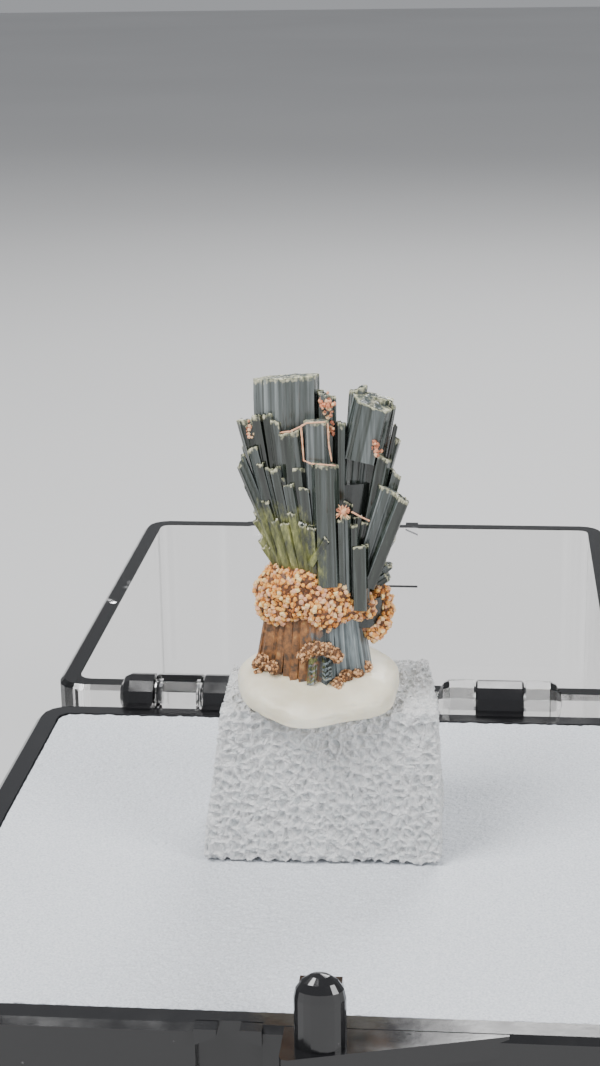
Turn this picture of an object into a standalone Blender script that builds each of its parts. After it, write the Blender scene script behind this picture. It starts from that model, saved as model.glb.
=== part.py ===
"""Epidote thumbnail specimen: a crystal group on putty and a foam block, in a hinged display box.

Lengths are in metres, X runs to the right, Y away from the viewer and Z up. The origin is the middle of the
underside of the box's base. The lid is the same moulding as the base, in clear plastic, and lies open behind it.
The crystal group's own tables are in millimetres, measured from the middle of the foam block's top.
"""

import math
import random
from typing import NamedTuple

import bmesh
import bpy
from mathutils import Matrix, Vector

MM = 0.001

# Box, one half
BOX_SIDE = 31.75 * MM
BOX_WALL = 1.15 * MM
HALF_DEPTH = 23.4 * MM
UPRIGHT_RADIUS = 1.6 * MM
INNER_RADIUS = 0.7 * MM
EDGE_ROUND = 0.25 * MM
GAP = 0.1 * MM

# Hinge
KNUCKLE_RADIUS = 1.2 * MM
AXIS_BACK = 1.35 * MM
AXIS_RISE = 0.1 * MM
GROUP_X = 8.6 * MM
PRONG_LENGTH = 1.95 * MM
TONGUE_LENGTH = 2.55 * MM
DOME_LENGTH = 0.65 * MM
KNUCKLE_STEPS = 12
BOSS_RADIUS = 0.45 * MM
BOSS_LENGTH = 0.35 * MM
DIMPLE_CLEARANCE = 0.1 * MM

# Latch
LATCH_X = 1.8 * MM
PEG_WIDTH = 1.97 * MM
PEG_THICKNESS = 1.3 * MM
PEG_HEIGHT = 3.0 * MM
PEG_BACK_GAP = 0.33 * MM
LIP_REACH = 2.2 * MM
LIP_LENGTH = 7.4 * MM
LIP_THICKNESS = 0.9 * MM
SLOT_WIDTH = 2.6 * MM
SLOT_HEIGHT = 4.5 * MM
SLOT_DEPTH = 0.45 * MM
HOOK_WIDTH = 0.85 * MM
HOOK_HEIGHT = 0.7 * MM
HOOK_REACH = 0.2 * MM
BARB_WIDTH = 1.6 * MM
BARB_HEIGHT = 0.7 * MM
BARB_REACH = 0.55 * MM
BARB_BELOW_TIP = 0.55 * MM

# Foam block and putty, above the foam pad
BLOCK_HEIGHT = 7.0 * MM
BLOCK_CELLS = 5
BLOCK_RAGGED = 0.09 * MM
PUTTY_CENTRE = (0.4 * MM, 0.35 * MM)
PUTTY_REACH = (3.6 * MM, 3.35 * MM)
PUTTY_FRONT_TOP = 0.85 * MM
PUTTY_BACK_TOP = 1.9 * MM
PUTTY_DROOP = 0.85 * MM
SEAT_CENTRE = (0.25 * MM, 0.45 * MM)
SEAT_REACH = (3.08 * MM, 2.4 * MM)
SEAT_FLOOR = 0.35 * MM

RIM = HALF_DEPTH
AXIS_Y = BOX_SIDE / 2 + AXIS_BACK
AXIS_Z = RIM + AXIS_RISE
FRONT = -BOX_SIDE / 2

# Crystal group, in millimetres: corners of the foam block seen from above, then the group's cores
BLOCK_FOOT = ((-4.7, -2.2), (5.95, -1.95), (5.9, 5.75), (-4.6, 4.9))
BLOCK_TOP = ((-3.8, -1.75), (5.8, -1.5), (5.15, 5.4), (-3.9, 3.95))


class Crystal(NamedTuple):
    """One prism. Foot and tip are the ends of its axis, and lean is how its end face falls to right and back."""

    foot: tuple
    tip: tuple
    width: float
    depth: float
    turn: float = 0.0
    lean: tuple = (0.0, 0.1)
    sides: int = 6


class Core(NamedTuple):
    """One oval frustum of solid rock inside the group, from its low section to its high one."""

    low: tuple
    high: tuple
    low_reach: tuple
    high_reach: tuple


# The tallest crystal has one wide face to the front right and narrow ones round its left
TALL_OUTLINE = (
    (-1.0, 0.2), (-0.88, -0.42), (-0.55, -0.78), (-0.12, -1.0), (1.0, -0.86), (1.0, 0.5), (0.4, 1.0), (-0.6, 0.9),
)

CORES = (
    Core((0.25, 0.5, 0.75), (0.3, 0.5, 3.4), (2.3, 1.45), (2.05, 1.2)),
    Core((0.3, 0.5, 3.2), (0.45, 0.6, 6.0), (2.25, 1.25), (1.9, 1.0)),
    Core((0.6, 0.75, 5.0), (0.75, 0.85, 9.8), (1.7, 0.85), (2.1, 0.8)),
    Core((2.35, 0.4, 3.45), (2.35, 0.4, 4.75), (0.85, 0.7), (0.95, 0.65)),
    Core((2.2, 0.42, 4.9), (2.4, 0.45, 6.9), (0.45, 0.4), (0.5, 0.4)),
)

TALL_CRYSTAL = Crystal((-0.97, 0.92, 8.7), (-1.0, 0.95, 14.42), 2.84, 2.0, 0, (-0.07, 0.12))

UPPER_CRYSTALS = (
    # Behind and right of the tall one, then the twin-topped one on the right with its overhanging front
    Crystal((0.5, 1.3, 8.0), (0.3, 1.35, 13.85), 0.7, 0.9, 10, (0.3, 0.1)),
    Crystal((1.95, 1.15, 5.0), (2.78, 1.2, 13.6), 1.95, 1.3, -3, (0.1, 0.1), 8),
    Crystal((2.3, 0.5, 10.85), (2.88, 0.5, 13.45), 1.75, 1.0, -3, (0.16, -0.35)),
    Crystal((1.75, 0.9, 8.0), (2.18, 1.0, 13.95), 0.8, 0.9, 8, (-0.35, 0.1)),
    Crystal((1.4, 0.35, 6.2), (1.48, 0.4, 12.6), 0.42, 0.8, 6, (0.2, 0.1)),
    Crystal((2.75, 0.75, 8.0), (3.68, 0.8, 13.35), 0.36, 0.55, -8, (0.6, 0.1)),
    Crystal((3.3, 0.6, 9.8), (3.83, 0.6, 12.45), 0.2, 0.2, 12, (0.5, 0.0)),
    Crystal((0.85, 0.5, 10.5), (0.86, 0.5, 13.8), 0.8, 0.75, 14, (0.25, 0.1), 7),
    # Left of the middle, in front of the tall one
    Crystal((-1.05, 0.3, 6.0), (-2.08, 0.3, 12.85), 0.56, 0.7, -14, (0.0, 0.5)),
    Crystal((-0.8, 0.2, 6.0), (-1.68, 0.14, 12.95), 0.52, 0.7, 6, (0.1, 0.4)),
    Crystal((-0.55, 0.1, 6.0), (-1.28, 0.04, 12.7), 0.5, 0.7, -8, (0.3, 0.3)),
    Crystal((-0.05, -0.05, 6.0), (-0.68, -0.15, 12.3), 1.0, 0.9, 6, (-0.12, 0.1), 8),
    Crystal((0.6, -0.15, 6.0), (0.47, -0.2, 12.8), 1.08, 1.0, -3, (0.0, 0.12)),
    Crystal((0.95, -0.55, 5.5), (0.83, -0.6, 11.0), 1.12, 0.9, 4, (0.12, 0.15)),
    # Right edge
    Crystal((2.35, 0.4, 6.0), (3.33, 0.4, 11.1), 0.7, 0.8, -6, (0.3, 0.2)),
    Crystal((2.6, 0.6, 5.6), (3.82, 0.6, 10.35), 0.6, 0.7, 10, (0.5, 0.1)),
    Crystal((2.35, 0.05, 5.6), (3.6, 0.1, 9.7), 1.1, 0.8, 0, (0.1, 0.1)),
    Crystal((2.65, -0.35, 5.4), (4.18, -0.4, 9.5), 0.66, 0.62, 12, (0.25, 0.0)),
    # Left edge
    Crystal((-1.05, 0.6, 6.0), (-2.68, 0.6, 12.6), 0.74, 0.75, 8, (0.2, 0.3)),
    Crystal((-1.15, 0.2, 6.4), (-2.86, 0.1, 10.95), 0.54, 0.5, 16, (-0.9, 0.2)),
    Crystal((-1.2, 0.2, 6.6), (-2.64, 0.2, 9.9), 0.34, 0.4, -12, (-0.6, 0.2)),
    # Short ones low down in front
    Crystal((0.2, -0.85, 6.5), (0.98, -0.98, 7.8), 0.36, 0.32, 0, (0.3, 0.0)),
    Crystal((1.52, -0.5, 5.2), (1.48, -0.72, 8.6), 0.34, 0.5, 10),
    Crystal((1.8, -0.5, 5.2), (1.76, -0.75, 8.75), 0.34, 0.5, -12),
    Crystal((2.08, -0.45, 5.0), (2.06, -0.66, 8.35), 0.34, 0.46, 8),
    Crystal((2.35, -0.45, 4.4), (2.33, -0.6, 7.4), 0.74, 0.7, -4, (-0.1, 0.2)),
)

# Needles that fill the fan: how many, first and last foot, first and last tip, width, bulge to the back
FAN_ROWS = (
    (8, ((-1.05, 0.15, 6.0), (0.3, -0.3, 6.0)), ((-2.3, 0.1, 11.3), (-0.05, -0.5, 10.3)), 0.5, 0.0),
    (6, ((-1.0, 0.45, 6.0), (0.2, 0.2, 6.0)), ((-2.45, 0.45, 12.0), (-0.35, 0.25, 11.6)), 0.62, 0.0),
    (6, ((-0.75, -0.05, 5.8), (0.35, -0.5, 5.8)), ((-1.75, -0.1, 8.9), (0.2, -0.8, 8.2)), 0.42, 0.0),
    (7, ((-1.05, 0.5, 6.4), (-0.9, 0.5, 5.2)), ((-2.6, 0.4, 9.5), (-1.75, 0.5, 6.8)), 0.38, 0.0),
    (5, ((1.6, 0.0, 5.6), (2.7, 0.2, 5.6)), ((1.75, 0.1, 9.0), (3.5, 0.2, 8.6)), 0.55, 0.0),
    (5, ((2.4, 0.6, 5.4), (2.1, 0.6, 4.6)), ((3.9, 0.6, 8.1), (3.5, 0.6, 6.1)), 0.42, 0.0),
    (9, ((-0.7, 1.2, 5.0), (1.7, 1.2, 5.0)), ((-2.45, 1.5, 11.7), (3.5, 1.5, 11.2)), 1.0, 0.75),
    (7, ((-0.5, 1.4, 5.0), (1.5, 1.4, 5.0)), ((-1.9, 1.9, 9.4), (3.2, 1.9, 9.0)), 0.9, 0.7),
)

# Lower fan: prisms that spread down all round from the waist
LOWER_FRONT = 17
LOWER_BACK = 12
LOWER_TOP_REACH = (1.9, 1.05)
LOWER_FOOT_REACH = (2.4, 1.75)
LOWER_CENTRE = (0.27, 0.5)
LOWER_TOP = 4.1
LOWER_FOOT = 0.55
LOWER_WIDTH = 0.52
STUBS = (
    Crystal((0.35, -0.9, 3.0), (0.22, -1.5, 1.2), 0.44, 0.4, 10, (0.0, -0.3)),
    Crystal((0.85, -0.9, 3.0), (0.93, -1.45, 1.4), 0.42, 0.38, -6, (0.1, -0.3)),
)

# Crust: a knobbly band round the waist, grains on it, and the bulge on its right
CRUST_CENTRE = (0.1, 0.5)
CRUST_REACH = (2.42, 1.62)
CRUST_ROUND = 26
CRUST_ROWS = 9
CRUST_KNOBS = 0.09
CRUST_TOPS = ((-2.6, 5.75), (-1.6, 6.15), (0.2, 6.2), (1.6, 5.85), (2.2, 5.0), (2.6, 4.9))
CRUST_LOWS = ((-2.6, 3.3), (-1.6, 3.2), (-0.1, 3.95), (0.85, 3.2), (2.1, 3.6), (2.6, 3.0))
CRUST_GRAINS = 52
CRUST_GRAIN = 0.3
BULGE_CENTRE = (2.95, 0.3, 4.0)
BULGE_REACH = (0.42, 0.5, 0.85)
BULGE_GRAINS = 11
BULGE_GRAIN = 0.42
ARCH_CENTRE = (0.6, -1.25, 2.2)
ARCH_RADIUS = 0.78
ARCH_GRAINS = 8
PATCH_GRAIN = 0.33
FOOT_PATCHES = (
    (-2.05, -0.55, 1.95), (-1.55, -0.95, 1.8), (-2.15, -0.4, 1.15), (-1.7, -0.9, 0.95), (-2.3, 0.1, 1.5),
    (1.75, -1.05, 1.45), (2.2, -0.75, 1.4), (1.35, -1.25, 1.15), (2.5, -0.3, 1.6),
)


def clear_scene():
    """Removes every object that the scene starts with."""
    for obj in list(bpy.data.objects):
        bpy.data.objects.remove(obj, do_unlink=True)


def collection(name, hidden=False):
    """Makes a collection under the scene's own."""
    made = bpy.data.collections.new(name)
    made.hide_render = hidden
    bpy.context.scene.collection.children.link(made)
    return made


def object_of(name, mesh, home):
    """Links a new object that shows a mesh."""
    obj = bpy.data.objects.new(name, mesh)
    home.objects.link(obj)
    return obj


def helper_of(name, mesh, home):
    """Links an object that only cuts or joins another."""
    obj = object_of(name, mesh, home)
    obj.hide_render = True
    obj.display_type = "WIRE"
    return obj


def mesh_of(name, shape):
    """Turns an edited shape into a mesh and frees it."""
    mesh = bpy.data.meshes.new(name)
    shape.normal_update()
    shape.to_mesh(mesh)
    shape.free()
    return mesh


def evaluated_mesh(obj, name):
    """The mesh that an object's modifiers make."""
    bpy.context.view_layer.update()
    graph = bpy.context.evaluated_depsgraph_get()
    mesh = bpy.data.meshes.new_from_object(obj.evaluated_get(graph))
    mesh.name = name
    return mesh


def material(name, colour, roughness, metallic=0.0, transmission=0.0, ior=1.5):
    """A surface with one colour."""
    made = bpy.data.materials.new(name)
    made.use_nodes = True
    shader = made.node_tree.nodes["Principled BSDF"]
    shader.inputs["Base Color"].default_value = (*colour, 1.0)
    shader.inputs["Roughness"].default_value = roughness
    shader.inputs["Metallic"].default_value = metallic
    shader.inputs["Transmission Weight"].default_value = transmission
    shader.inputs["IOR"].default_value = ior
    return made


def black_plastic():
    """Polished black styrene of the base."""
    return material("black_plastic", (0.012, 0.012, 0.013), 0.18)


def clear_plastic():
    """Clear styrene of the lid."""
    return material("clear_plastic", (0.97, 0.97, 0.97), 0.05, transmission=1.0, ior=1.59)


def pad_foam():
    """Fine white foam of the pad."""
    return material("pad_foam", (0.8, 0.82, 0.84), 0.85)


def block_foam():
    """Coarse-celled white foam of the block."""
    return material("block_foam", (0.83, 0.84, 0.83), 0.7)


def putty_wax():
    """Cream mounting putty."""
    return material("putty_wax", (0.78, 0.74, 0.6), 0.45)


def epidote_green():
    """Green-black glossy epidote."""
    return material("epidote_green", (0.035, 0.045, 0.035), 0.25)


def add_box(shape, low, high):
    """Adds a box between two corners to a shape and returns its points."""
    size = Vector(high) - Vector(low)
    middle = (Vector(high) + Vector(low)) / 2
    place = Matrix.Translation(middle) @ Matrix.Diagonal((*size, 1.0))
    return bmesh.ops.create_cube(shape, size=1.0, matrix=place)["verts"]


def bevel_edges(shape, edges, width, segments):
    """Rounds the given edges of a shape."""
    bmesh.ops.bevel(
        shape,
        geom=edges,
        offset=width,
        offset_type="OFFSET",
        segments=segments,
        profile=0.5,
        affect="EDGES",
    )


def is_upright(edge):
    """Whether an edge runs along Z."""
    way = edge.verts[1].co - edge.verts[0].co
    return abs(way.z) > 0.99 * way.length


def is_level_at(edge, height):
    """Whether both ends of an edge lie at a height and only one of its faces does."""
    level = all(abs(point.co.z - height) < 1e-7 for point in edge.verts)
    flat = [face for face in edge.link_faces if abs(face.normal.z) > 0.99]
    return level and len(flat) == 1


def rounded_box(low, high, upright, edge, segments=4):
    """A box with round upright edges, and its top and bottom edges eased by another radius."""
    shape = bmesh.new()
    add_box(shape, low, high)
    bevel_edges(shape, [e for e in shape.edges if is_upright(e)], upright, segments)
    if edge:
        shape.normal_update()
        ends = [e for e in shape.edges if is_level_at(e, low[2]) or is_level_at(e, high[2])]
        bevel_edges(shape, ends, edge, 1)
    return shape


def turned_mesh(name, profile, steps, home):
    """Turns a profile of (radius, height) points, listed from top to bottom, about Z."""
    outline = bmesh.new()
    points = [outline.verts.new((radius, 0.0, height)) for radius, height in profile]
    for first, second in zip(points, points[1:]):
        outline.edges.new((first, second))
    maker = helper_of(name, mesh_of(name, outline), home)
    screw = maker.modifiers.new("turn", "SCREW")
    screw.axis = "Z"
    screw.steps = steps
    screw.render_steps = steps
    screw.use_merge_vertices = True
    screw.merge_threshold = 1e-6
    mesh = evaluated_mesh(maker, name)
    bpy.data.objects.remove(maker)
    return mesh


def add_mesh(shape, mesh, place):
    """Adds a mesh to a shape, moved by a matrix, and removes the mesh."""
    mesh.transform(place)
    shape.from_mesh(mesh)
    bpy.data.meshes.remove(mesh)


def along_x(centre_x, way):
    """Places a turned piece on the hinge's axis, its own top pointing to one side."""
    turn = Matrix.Rotation(math.radians(90.0 * way), 4, "Y")
    return Matrix.Translation((centre_x, AXIS_Y, AXIS_Z)) @ turn


def add_web(shape, left, right):
    """Joins a knuckle to the wall below the hinge's axis."""
    low = (left, BOX_SIDE / 2 - BOX_WALL / 2, AXIS_Z - 0.92 * KNUCKLE_RADIUS)
    add_box(shape, low, (right, AXIS_Y, AXIS_Z))


def prong_profile():
    """Half outline of a prong that is domed at its top end."""
    arc = [math.radians(90.0 * step / 3) for step in range(4)]
    shoulder = PRONG_LENGTH - DOME_LENGTH
    dome = [(KNUCKLE_RADIUS * math.sin(a), shoulder + DOME_LENGTH * math.cos(a)) for a in arc]
    return [*dome, (KNUCKLE_RADIUS, 0.0), (0.0, 0.0)]


def add_fork(shape, home):
    """Two domed prongs with bosses that face the tongue between them."""
    half_space = TONGUE_LENGTH / 2 + GAP
    for way in (-1, 1):
        face_x = -GROUP_X + way * half_space
        prong = turned_mesh("prong", prong_profile(), KNUCKLE_STEPS, home)
        add_mesh(shape, prong, along_x(face_x, way))
        boss_profile = [(0.0, BOSS_LENGTH), (BOSS_RADIUS, BOSS_LENGTH), (BOSS_RADIUS, -GAP), (0.0, -GAP)]
        boss = turned_mesh("boss", boss_profile, 12, home)
        add_mesh(shape, boss, along_x(face_x, -way))
        shoulder_x = face_x + way * (PRONG_LENGTH - DOME_LENGTH)
        add_web(shape, min(face_x, shoulder_x), max(face_x, shoulder_x))


def add_tongue(shape, home):
    """The single knuckle that the other half's fork holds."""
    half = TONGUE_LENGTH / 2
    ease = GAP
    profile = [
        (0.0, half),
        (KNUCKLE_RADIUS - ease, half),
        (KNUCKLE_RADIUS, half - ease),
        (KNUCKLE_RADIUS, ease - half),
        (KNUCKLE_RADIUS - ease, -half),
        (0.0, -half),
    ]
    add_mesh(shape, turned_mesh("tongue", profile, KNUCKLE_STEPS, home), along_x(GROUP_X, 1))
    add_web(shape, GROUP_X - half + ease, GROUP_X + half - ease)


def add_dimples(shape, home):
    """Blind holes in the tongue's two ends, for the bosses of the other half."""
    radius = BOSS_RADIUS + DIMPLE_CLEARANCE
    for way in (-1, 1):
        profile = [(0.0, GAP), (radius, GAP), (radius, -BOSS_LENGTH), (0.0, -BOSS_LENGTH)]
        end_x = GROUP_X + way * TONGUE_LENGTH / 2
        add_mesh(shape, turned_mesh("dimple", profile, 12, home), along_x(end_x, way))


def add_thumb_lip(shape):
    """The three-cornered lip under the peg, deepest at its left end and level with the rim."""
    left = LATCH_X - 0.75 * PEG_WIDTH
    top = RIM - 0.02 * MM
    points = add_box(shape, (left, FRONT - LIP_REACH, top - LIP_THICKNESS), (left + LIP_LENGTH * 1.15, FRONT + BOX_WALL / 2, top))
    for point in points:
        if point.co.x > LATCH_X and point.co.y < FRONT:
            point.co.y = FRONT + 0.1 * MM
    outer = [e for e in shape.edges if e.verts[0] in points and is_upright(e) and e.verts[0].co.y < FRONT]
    bevel_edges(shape, outer, 0.35 * MM, 2)


def add_peg(shape, home):
    """The domed latch peg and the barb on its back."""
    arc = [math.radians(90.0 * step / 4) for step in range(5)]
    half = PEG_WIDTH / 2
    dome = [(half * math.sin(a), PEG_HEIGHT - half + half * math.cos(a)) for a in arc]
    profile = [*dome, (half, -0.8 * LIP_THICKNESS), (0.0, -0.8 * LIP_THICKNESS)]
    middle_y = FRONT - PEG_BACK_GAP - PEG_THICKNESS / 2
    squeeze = Matrix.Diagonal((1.0, PEG_THICKNESS / PEG_WIDTH, 1.0, 1.0))
    place = Matrix.Translation((LATCH_X, middle_y, RIM)) @ squeeze
    add_mesh(shape, turned_mesh("peg", profile, 20, home), place)
    barb_top = RIM + PEG_HEIGHT - BARB_BELOW_TIP
    back = FRONT - PEG_BACK_GAP
    low = (LATCH_X - BARB_WIDTH / 2, back - PEG_THICKNESS / 2, barb_top - BARB_HEIGHT)
    barb = add_box(shape, low, (LATCH_X + BARB_WIDTH / 2, back + BARB_REACH, barb_top))
    for point in barb:
        if point.co.y > back and point.co.z > barb_top - GAP:
            point.co.y -= 0.8 * BARB_REACH


def add_hooks(shape):
    """The two small lips that close the latch slot's mouth, either side of its middle."""
    for way in (-1, 1):
        outer = -LATCH_X + way * SLOT_WIDTH / 2
        inner = outer - way * HOOK_WIDTH
        low = (min(outer, inner), FRONT - HOOK_REACH, RIM - HOOK_HEIGHT)
        hook = add_box(shape, low, (max(outer, inner), FRONT + BOX_WALL / 2, RIM - 0.02 * MM))
        for point in hook:
            if point.co.z < RIM - HOOK_HEIGHT / 2 and abs(point.co.x - inner) < GAP:
                point.co.z += 0.55 * HOOK_HEIGHT


def half_mesh(name, helpers):
    """One half of the box, rim up: shell, hinge fork and tongue, latch peg and latch slot."""
    half = BOX_SIDE / 2
    outer = rounded_box((-half, -half, 0.0), (half, half, RIM), UPRIGHT_RADIUS, EDGE_ROUND)
    body = helper_of("half_shell", mesh_of("half_shell", outer), helpers)

    slot = bmesh.new()
    slot_low = (-LATCH_X - SLOT_WIDTH / 2, FRONT - BOX_WALL, RIM - SLOT_HEIGHT)
    add_box(slot, slot_low, (-LATCH_X + SLOT_WIDTH / 2, FRONT + SLOT_DEPTH, RIM + BOX_WALL))
    slot_cut = helper_of("slot_cut", mesh_of("slot_cut", slot), helpers)

    added = bmesh.new()
    add_fork(added, helpers)
    add_tongue(added, helpers)
    add_thumb_lip(added)
    add_peg(added, helpers)
    add_hooks(added)
    joined = helper_of("half_fittings", mesh_of("half_fittings", added), helpers)

    inside = half - BOX_WALL
    hollow = rounded_box((-inside, -inside, BOX_WALL), (inside, inside, RIM + BOX_WALL), INNER_RADIUS, 0.0, 3)
    hollow_cut = helper_of("hollow_cut", mesh_of("hollow_cut", hollow), helpers)
    holes = bmesh.new()
    add_dimples(holes, helpers)
    dimple_cut = helper_of("dimple_cut", mesh_of("dimple_cut", holes), helpers)

    steps = (
        ("DIFFERENCE", slot_cut),
        ("UNION", joined),
        ("DIFFERENCE", hollow_cut),
        ("DIFFERENCE", dimple_cut),
    )
    for operation, other in steps:
        boolean = body.modifiers.new(other.name, "BOOLEAN")
        boolean.operation = operation
        boolean.object = other
        boolean.solver = "EXACT"
        boolean.use_self = other is joined
    mesh = evaluated_mesh(body, name)
    for _, other in steps:
        bpy.data.objects.remove(other)
    bpy.data.objects.remove(body)
    return mesh


def smooth_by_angle(mesh, degrees):
    """Shades a mesh smooth, apart from edges sharper than an angle."""
    mesh.shade_smooth()
    mesh.set_sharp_from_angle(angle=math.radians(degrees))


def build_box(parts, helpers):
    """The base, and the lid that hangs on an empty at the hinge's axis."""
    mesh = half_mesh("box_base", helpers)
    smooth_by_angle(mesh, 40)
    base = object_of("box_base", mesh, parts)
    lid_mesh = mesh.copy()
    lid_mesh.name = "lid"
    base.data.materials.append(black_plastic())
    lid_mesh.materials.append(clear_plastic())
    pivot = bpy.data.objects.new("lid_hinge_axis", None)
    parts.objects.link(pivot)
    pivot.location = (0.0, AXIS_Y, AXIS_Z)
    lid = object_of("lid", lid_mesh, parts)
    lid.parent = pivot
    lid.location = (0.0, AXIS_Y, -AXIS_Z)
    lid.rotation_euler = (0.0, 0.0, math.pi)


def build_pad(parts):
    """The foam sheet that fills the base up to its rim."""
    half = BOX_SIDE / 2 - BOX_WALL - GAP
    shape = rounded_box((-half, -half, BOX_WALL + GAP), (half, half, RIM), INNER_RADIUS, 0.0, 3)
    pad = object_of("foam_pad", mesh_of("foam_pad", shape), parts)
    pad.data.materials.append(pad_foam())


def block_corner(across, along, up):
    """A point of the foam block, from its shares across, along and up, in metres."""

    def ring(corners):
        front = Vector(corners[0]).lerp(Vector(corners[1]), across)
        back = Vector(corners[3]).lerp(Vector(corners[2]), across)
        return front.lerp(back, along)

    flat = ring(BLOCK_FOOT).lerp(ring(BLOCK_TOP), up) * MM
    return Vector((flat.x, flat.y, up * BLOCK_HEIGHT))


def block_shape(ragged):
    """The hand-cut foam block, its cells torn in and out by a small amount."""
    shape = bmesh.new()
    bmesh.ops.create_cube(shape, size=1.0)
    bmesh.ops.subdivide_edges(shape, edges=shape.edges[:], cuts=BLOCK_CELLS - 1, use_grid_fill=True)
    rng = random.Random(11)
    for point in shape.verts:
        share = [c + 0.5 for c in point.co]
        point.co = block_corner(*share)
        torn = [rng.uniform(-ragged, 0.0) for _ in range(3)]
        for axis in (0, 1):
            if share[axis] in (0.0, 1.0):
                inward = 1.0 if share[axis] == 0.0 else -1.0
                point.co[axis] -= inward * torn[axis]
        if share[2] == 1.0:
            point.co.z += torn[2]
    return shape


def build_block(parts):
    """The foam block that stands on the pad."""
    shape = block_shape(BLOCK_RAGGED)
    bmesh.ops.triangulate(shape, faces=shape.faces[:])
    block = object_of("foam_block", mesh_of("foam_block", shape), parts)
    block.location = (0.0, 0.0, RIM + GAP)
    block.data.materials.append(block_foam())


def putty_height(x, y, share):
    """Height of the putty at a place on its disc, where share runs from 1 in the middle to 0 at its edge."""
    back = 0.5 + 0.5 * max(-1.0, min(1.0, y))
    top = PUTTY_FRONT_TOP + (PUTTY_BACK_TOP - PUTTY_FRONT_TOP) * back
    return top * share**0.45


def putty_shape():
    """A pressed lump: a raised rim behind, and a soft lip that hangs over the block's front edge."""
    shape = bmesh.new()
    bmesh.ops.create_uvsphere(shape, u_segments=24, v_segments=10, radius=1.0)
    rng = random.Random(5)
    swell = [rng.uniform(-0.03, 0.03) for _ in range(6)]
    for point in shape.verts:
        x, y, z = point.co
        turn = math.atan2(y, x)
        reach = 1.0 + sum(s * math.cos((k + 2) * turn + k) for k, s in enumerate(swell))
        front = max(0.0, -y - 0.35)
        if z >= 0.0:
            height = putty_height(x, y, z)
        else:
            height = 0.45 * MM * z
        point.co = (
            PUTTY_CENTRE[0] + PUTTY_REACH[0] * reach * x,
            PUTTY_CENTRE[1] + PUTTY_REACH[1] * reach * y,
            0.35 * MM + height - PUTTY_DROOP * front**1.2,
        )
    return shape


def build_putty(parts, helpers):
    """The putty, cut by the block below it and by the seat of the crystal's foot."""
    putty = object_of("putty", mesh_of("putty", putty_shape()), parts)
    putty.location = (0.0, 0.0, RIM + GAP + BLOCK_HEIGHT)
    putty.data.shade_smooth()
    putty.data.materials.append(putty_wax())

    under = bmesh.new()
    bmesh.ops.create_cube(under, size=1.0)
    for point in under.verts:
        share = [c + 0.5 for c in point.co]
        point.co = block_corner(*share)
        for axis in (0, 1):
            point.co[axis] += GAP * (2.0 * share[axis] - 1.0)
        point.co.z += GAP
    under_cut = helper_of("under_cut", mesh_of("under_cut", under), helpers)
    under_cut.location = (0.0, 0.0, RIM + GAP)

    seat = bmesh.new()
    deep = 4.0 * MM
    place = Matrix.Translation((*SEAT_CENTRE, SEAT_FLOOR + deep / 2)) @ Matrix.Diagonal((*SEAT_REACH, deep, 1.0))
    bmesh.ops.create_cone(seat, cap_ends=True, segments=20, radius1=0.94, radius2=1.1, depth=1.0, matrix=place)
    seat_cut = helper_of("seat_cut", mesh_of("seat_cut", seat), helpers)
    seat_cut.location = putty.location

    for cutter in (under_cut, seat_cut):
        boolean = putty.modifiers.new(cutter.name, "BOOLEAN")
        boolean.operation = "DIFFERENCE"
        boolean.object = cutter
        boolean.solver = "EXACT"


def section(sides):
    """The outline of a prism with a wide face to the front and to the back, within one unit each way."""
    points = []
    for k in range(sides):
        angle = math.tau * (k + 0.5 * (sides % 4 != 2)) / sides
        x = math.copysign(abs(math.cos(angle)) ** 0.5, math.cos(angle))
        y = math.copysign(abs(math.sin(angle)) ** 0.7, math.sin(angle))
        points.append((x, y))
    return points


def turn_of(x, y):
    """The angle of a place round the middle, from a start that no corner lies on."""
    return (math.atan2(y, x) + 0.02) % math.tau


def add_crystal(shape, crystal, seed, outline=None):
    """Adds one prism, from its foot to its cut tip."""
    rng = random.Random(seed)
    foot = Vector(crystal.foot) * MM
    axis = Vector(crystal.tip) * MM - foot
    length = axis.length
    axis.normalize()
    right = Vector((1.0, 0.0, 0.0))
    right = (right - right.dot(axis) * axis).normalized()
    right.rotate(Matrix.Rotation(math.radians(crystal.turn), 3, axis))
    back = axis.cross(right)
    corners = [(u * rng.uniform(0.94, 1.06), v * rng.uniform(0.9, 1.1)) for u, v in outline or section(crystal.sides)]
    corners.sort(key=lambda place: turn_of(*place))
    made = bmesh.ops.create_cone(
        shape, cap_ends=True, segments=len(corners), radius1=1.0, radius2=1.0, depth=2.0
    )
    made["verts"].sort(key=lambda point: turn_of(point.co.x, point.co.y))
    rings = {end: [point for point in made["verts"] if point.co.z * end > 0.0] for end in (-1.0, 1.0)}
    for end, ring in rings.items():
        for point, (u, v) in zip(ring, corners):
            across = u * crystal.width * MM / 2
            deep = v * crystal.depth * MM / 2
            along = 0.0
            if end > 0.0:
                along = length - crystal.lean[0] * across - crystal.lean[1] * deep
            point.co = foot + axis * along + right * across + back * deep


def add_grain(shape, centre, size, rng):
    """Adds one angular grain of crust."""
    made = bmesh.ops.create_icosphere(shape, subdivisions=1, radius=size * MM)
    axis = Vector((rng.random(), rng.random(), 1.0)).normalized()
    turn = Matrix.Rotation(rng.uniform(0.0, math.tau), 3, axis)
    for point in made["verts"]:
        point.co = turn @ (point.co * rng.uniform(0.78, 1.12)) + Vector(centre) * MM


def add_core(shape, core):
    """Adds one oval frustum."""
    made = bmesh.ops.create_cone(shape, cap_ends=True, segments=14, radius1=1.0, radius2=1.0, depth=2.0)
    for point in made["verts"]:
        end, reach = (core.high, core.high_reach) if point.co.z > 0.0 else (core.low, core.low_reach)
        place = (end[0] + reach[0] * point.co.x, end[1] + reach[1] * point.co.y, end[2])
        point.co = Vector(place) * MM


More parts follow.
